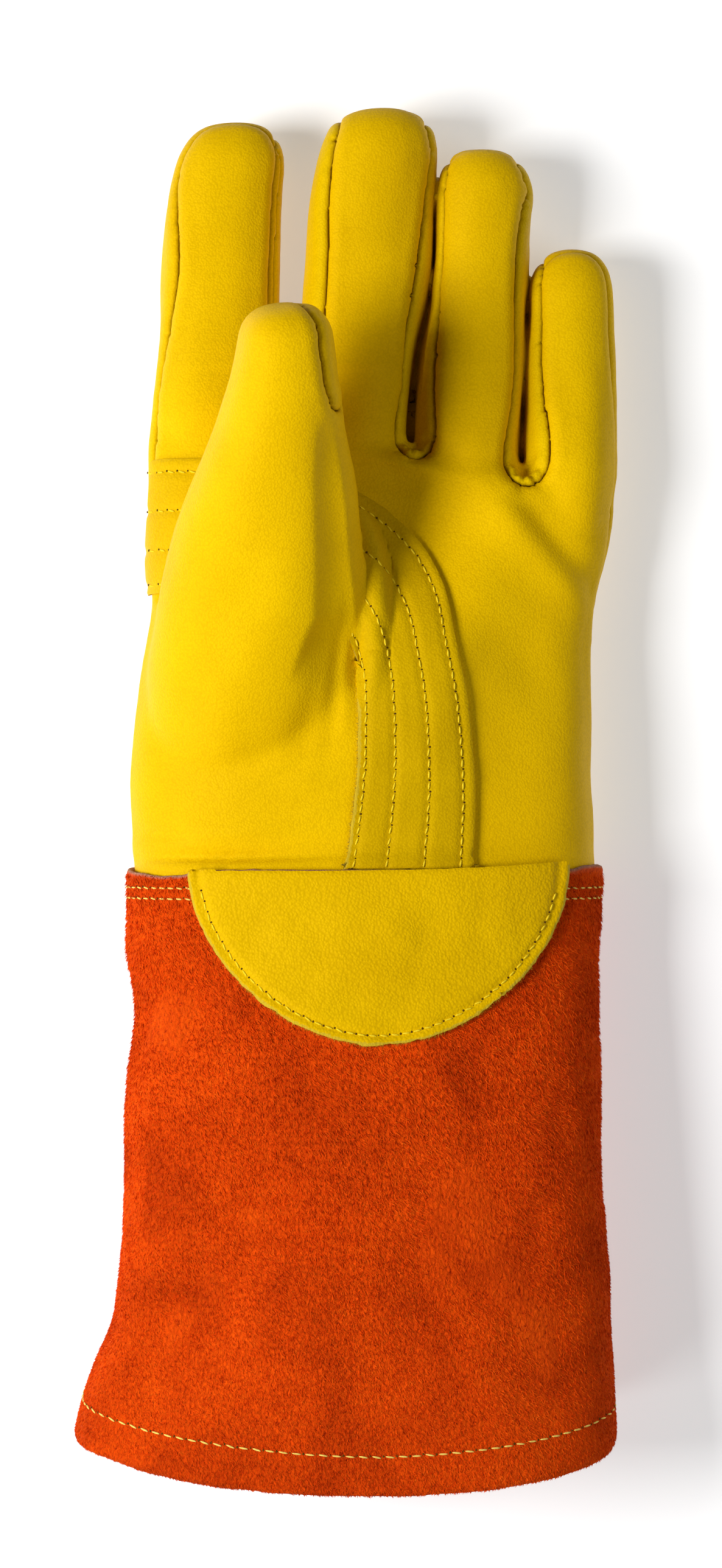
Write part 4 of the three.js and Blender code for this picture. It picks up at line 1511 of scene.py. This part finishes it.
def sewRow(thread, holeShades, row, pitch, seed):
    rand = random.Random(seed)
    for i, here in enumerate(row):
        if here is None:
            continue
        ahead = next((r for r in row[i + 1 : i + 2] if r), None)
        behind = row[i - 1] if i and row[i - 1] else None
        if not ahead and not behind:
            continue
        a, b = (behind or here)[0], (ahead or here)[0]
        if (b - a).length > 3 * pitch:
            continue
        spot, facing = here
        way = (b - a).normalized()
        side = facing.cross(way).normalized()
        way = (way + side * rand.uniform(*stitch["slant"])).normalized()
        side = facing.cross(way).normalized()
        turned = Matrix((way, side, facing)).transposed().to_4x4()
        size = Matrix.Diagonal((stitch["share"] * pitch / 2, stitch["width"] / 2, stitch["height"] / 2, 1))
        lift = stitch["height"] / 2 - stitch["bedded"] + rand.uniform(-stitch["uneven"], stitch["uneven"])
        where = Matrix.Translation(spot + facing * lift)
        bmesh.ops.create_uvsphere(thread, u_segments=7, v_segments=6, radius=1, matrix=where @ turned @ size)
        # a flat dark disc at the end of each stitch stands for the needle hole: painted shade
        holeShadeShape = Matrix.Diagonal((stitch["holeShade"] * 0.8, stitch["holeShade"], 0.12, 1))
        where = Matrix.Translation(spot + way * pitch / 2 + facing * stitch["sink"])
        bmesh.ops.create_uvsphere(holeShades, u_segments=7, v_segments=4, radius=1, matrix=where @ turned @ holeShadeShape)


def sewPiece(name, rows, pitch, slot, yarn):
    thread, holeShades = bmesh.new(), bmesh.new()
    for i, row in enumerate(rows):
        sewRow(thread, holeShades, row, pitch, i + len(name))
    for form, label, material in ((thread, "thread", yarn), (holeShades, "holeShades", holeShadeMaterial)):
        settle(form, coordinates(form))
        mesh = smoothShaded(form, name + "_" + label)
        place(name + "_" + label, mesh, [material], [], slot)
    print(name, "stitches", sum(len(row) for row in rows))


crescentTree = BVHTree.FromBMesh(crescentForm)
moonTree = BVHTree.FromBMesh(moonForm)
cuffTree = BVHTree.FromBMesh(cuffForm)
rows = [droppedOn(crescentTree, line, crescentPatch["pitch"]) for line in crescentStitches]
sewPiece("palm_patch", rows, crescentPatch["pitch"], "patch_leather", threadMaterial)
row = droppedOn(moonTree, moonLine(halfMoon["inset"], 300), halfMoon["pitch"])
row = [hit if hit and hit[0].y < halfMoon["sewn"] else None for hit in row]
sewPiece("wrist_patch", [row], halfMoon["pitch"], "patch_leather", threadMaterial)


def besideMoon(hit):
    near = moonField(np.array([hit[:]]))[0]
    return hit.z < 20 or near < -0.3


pitch = cuff["wristPitch"]
rows = [cuffRow(cuffTree, below, pitch, besideMoon) for below in cuff["wristRows"]]
sewPiece("wrist", rows, pitch, "suede", cuffThread)
rows = [cuffRow(cuffTree, cuff["length"] - cuff["hemRow"], cuff["hemPitch"], lambda hit: True)]
sewPiece("hem", rows, cuff["hemPitch"], "suede", cuffThread)
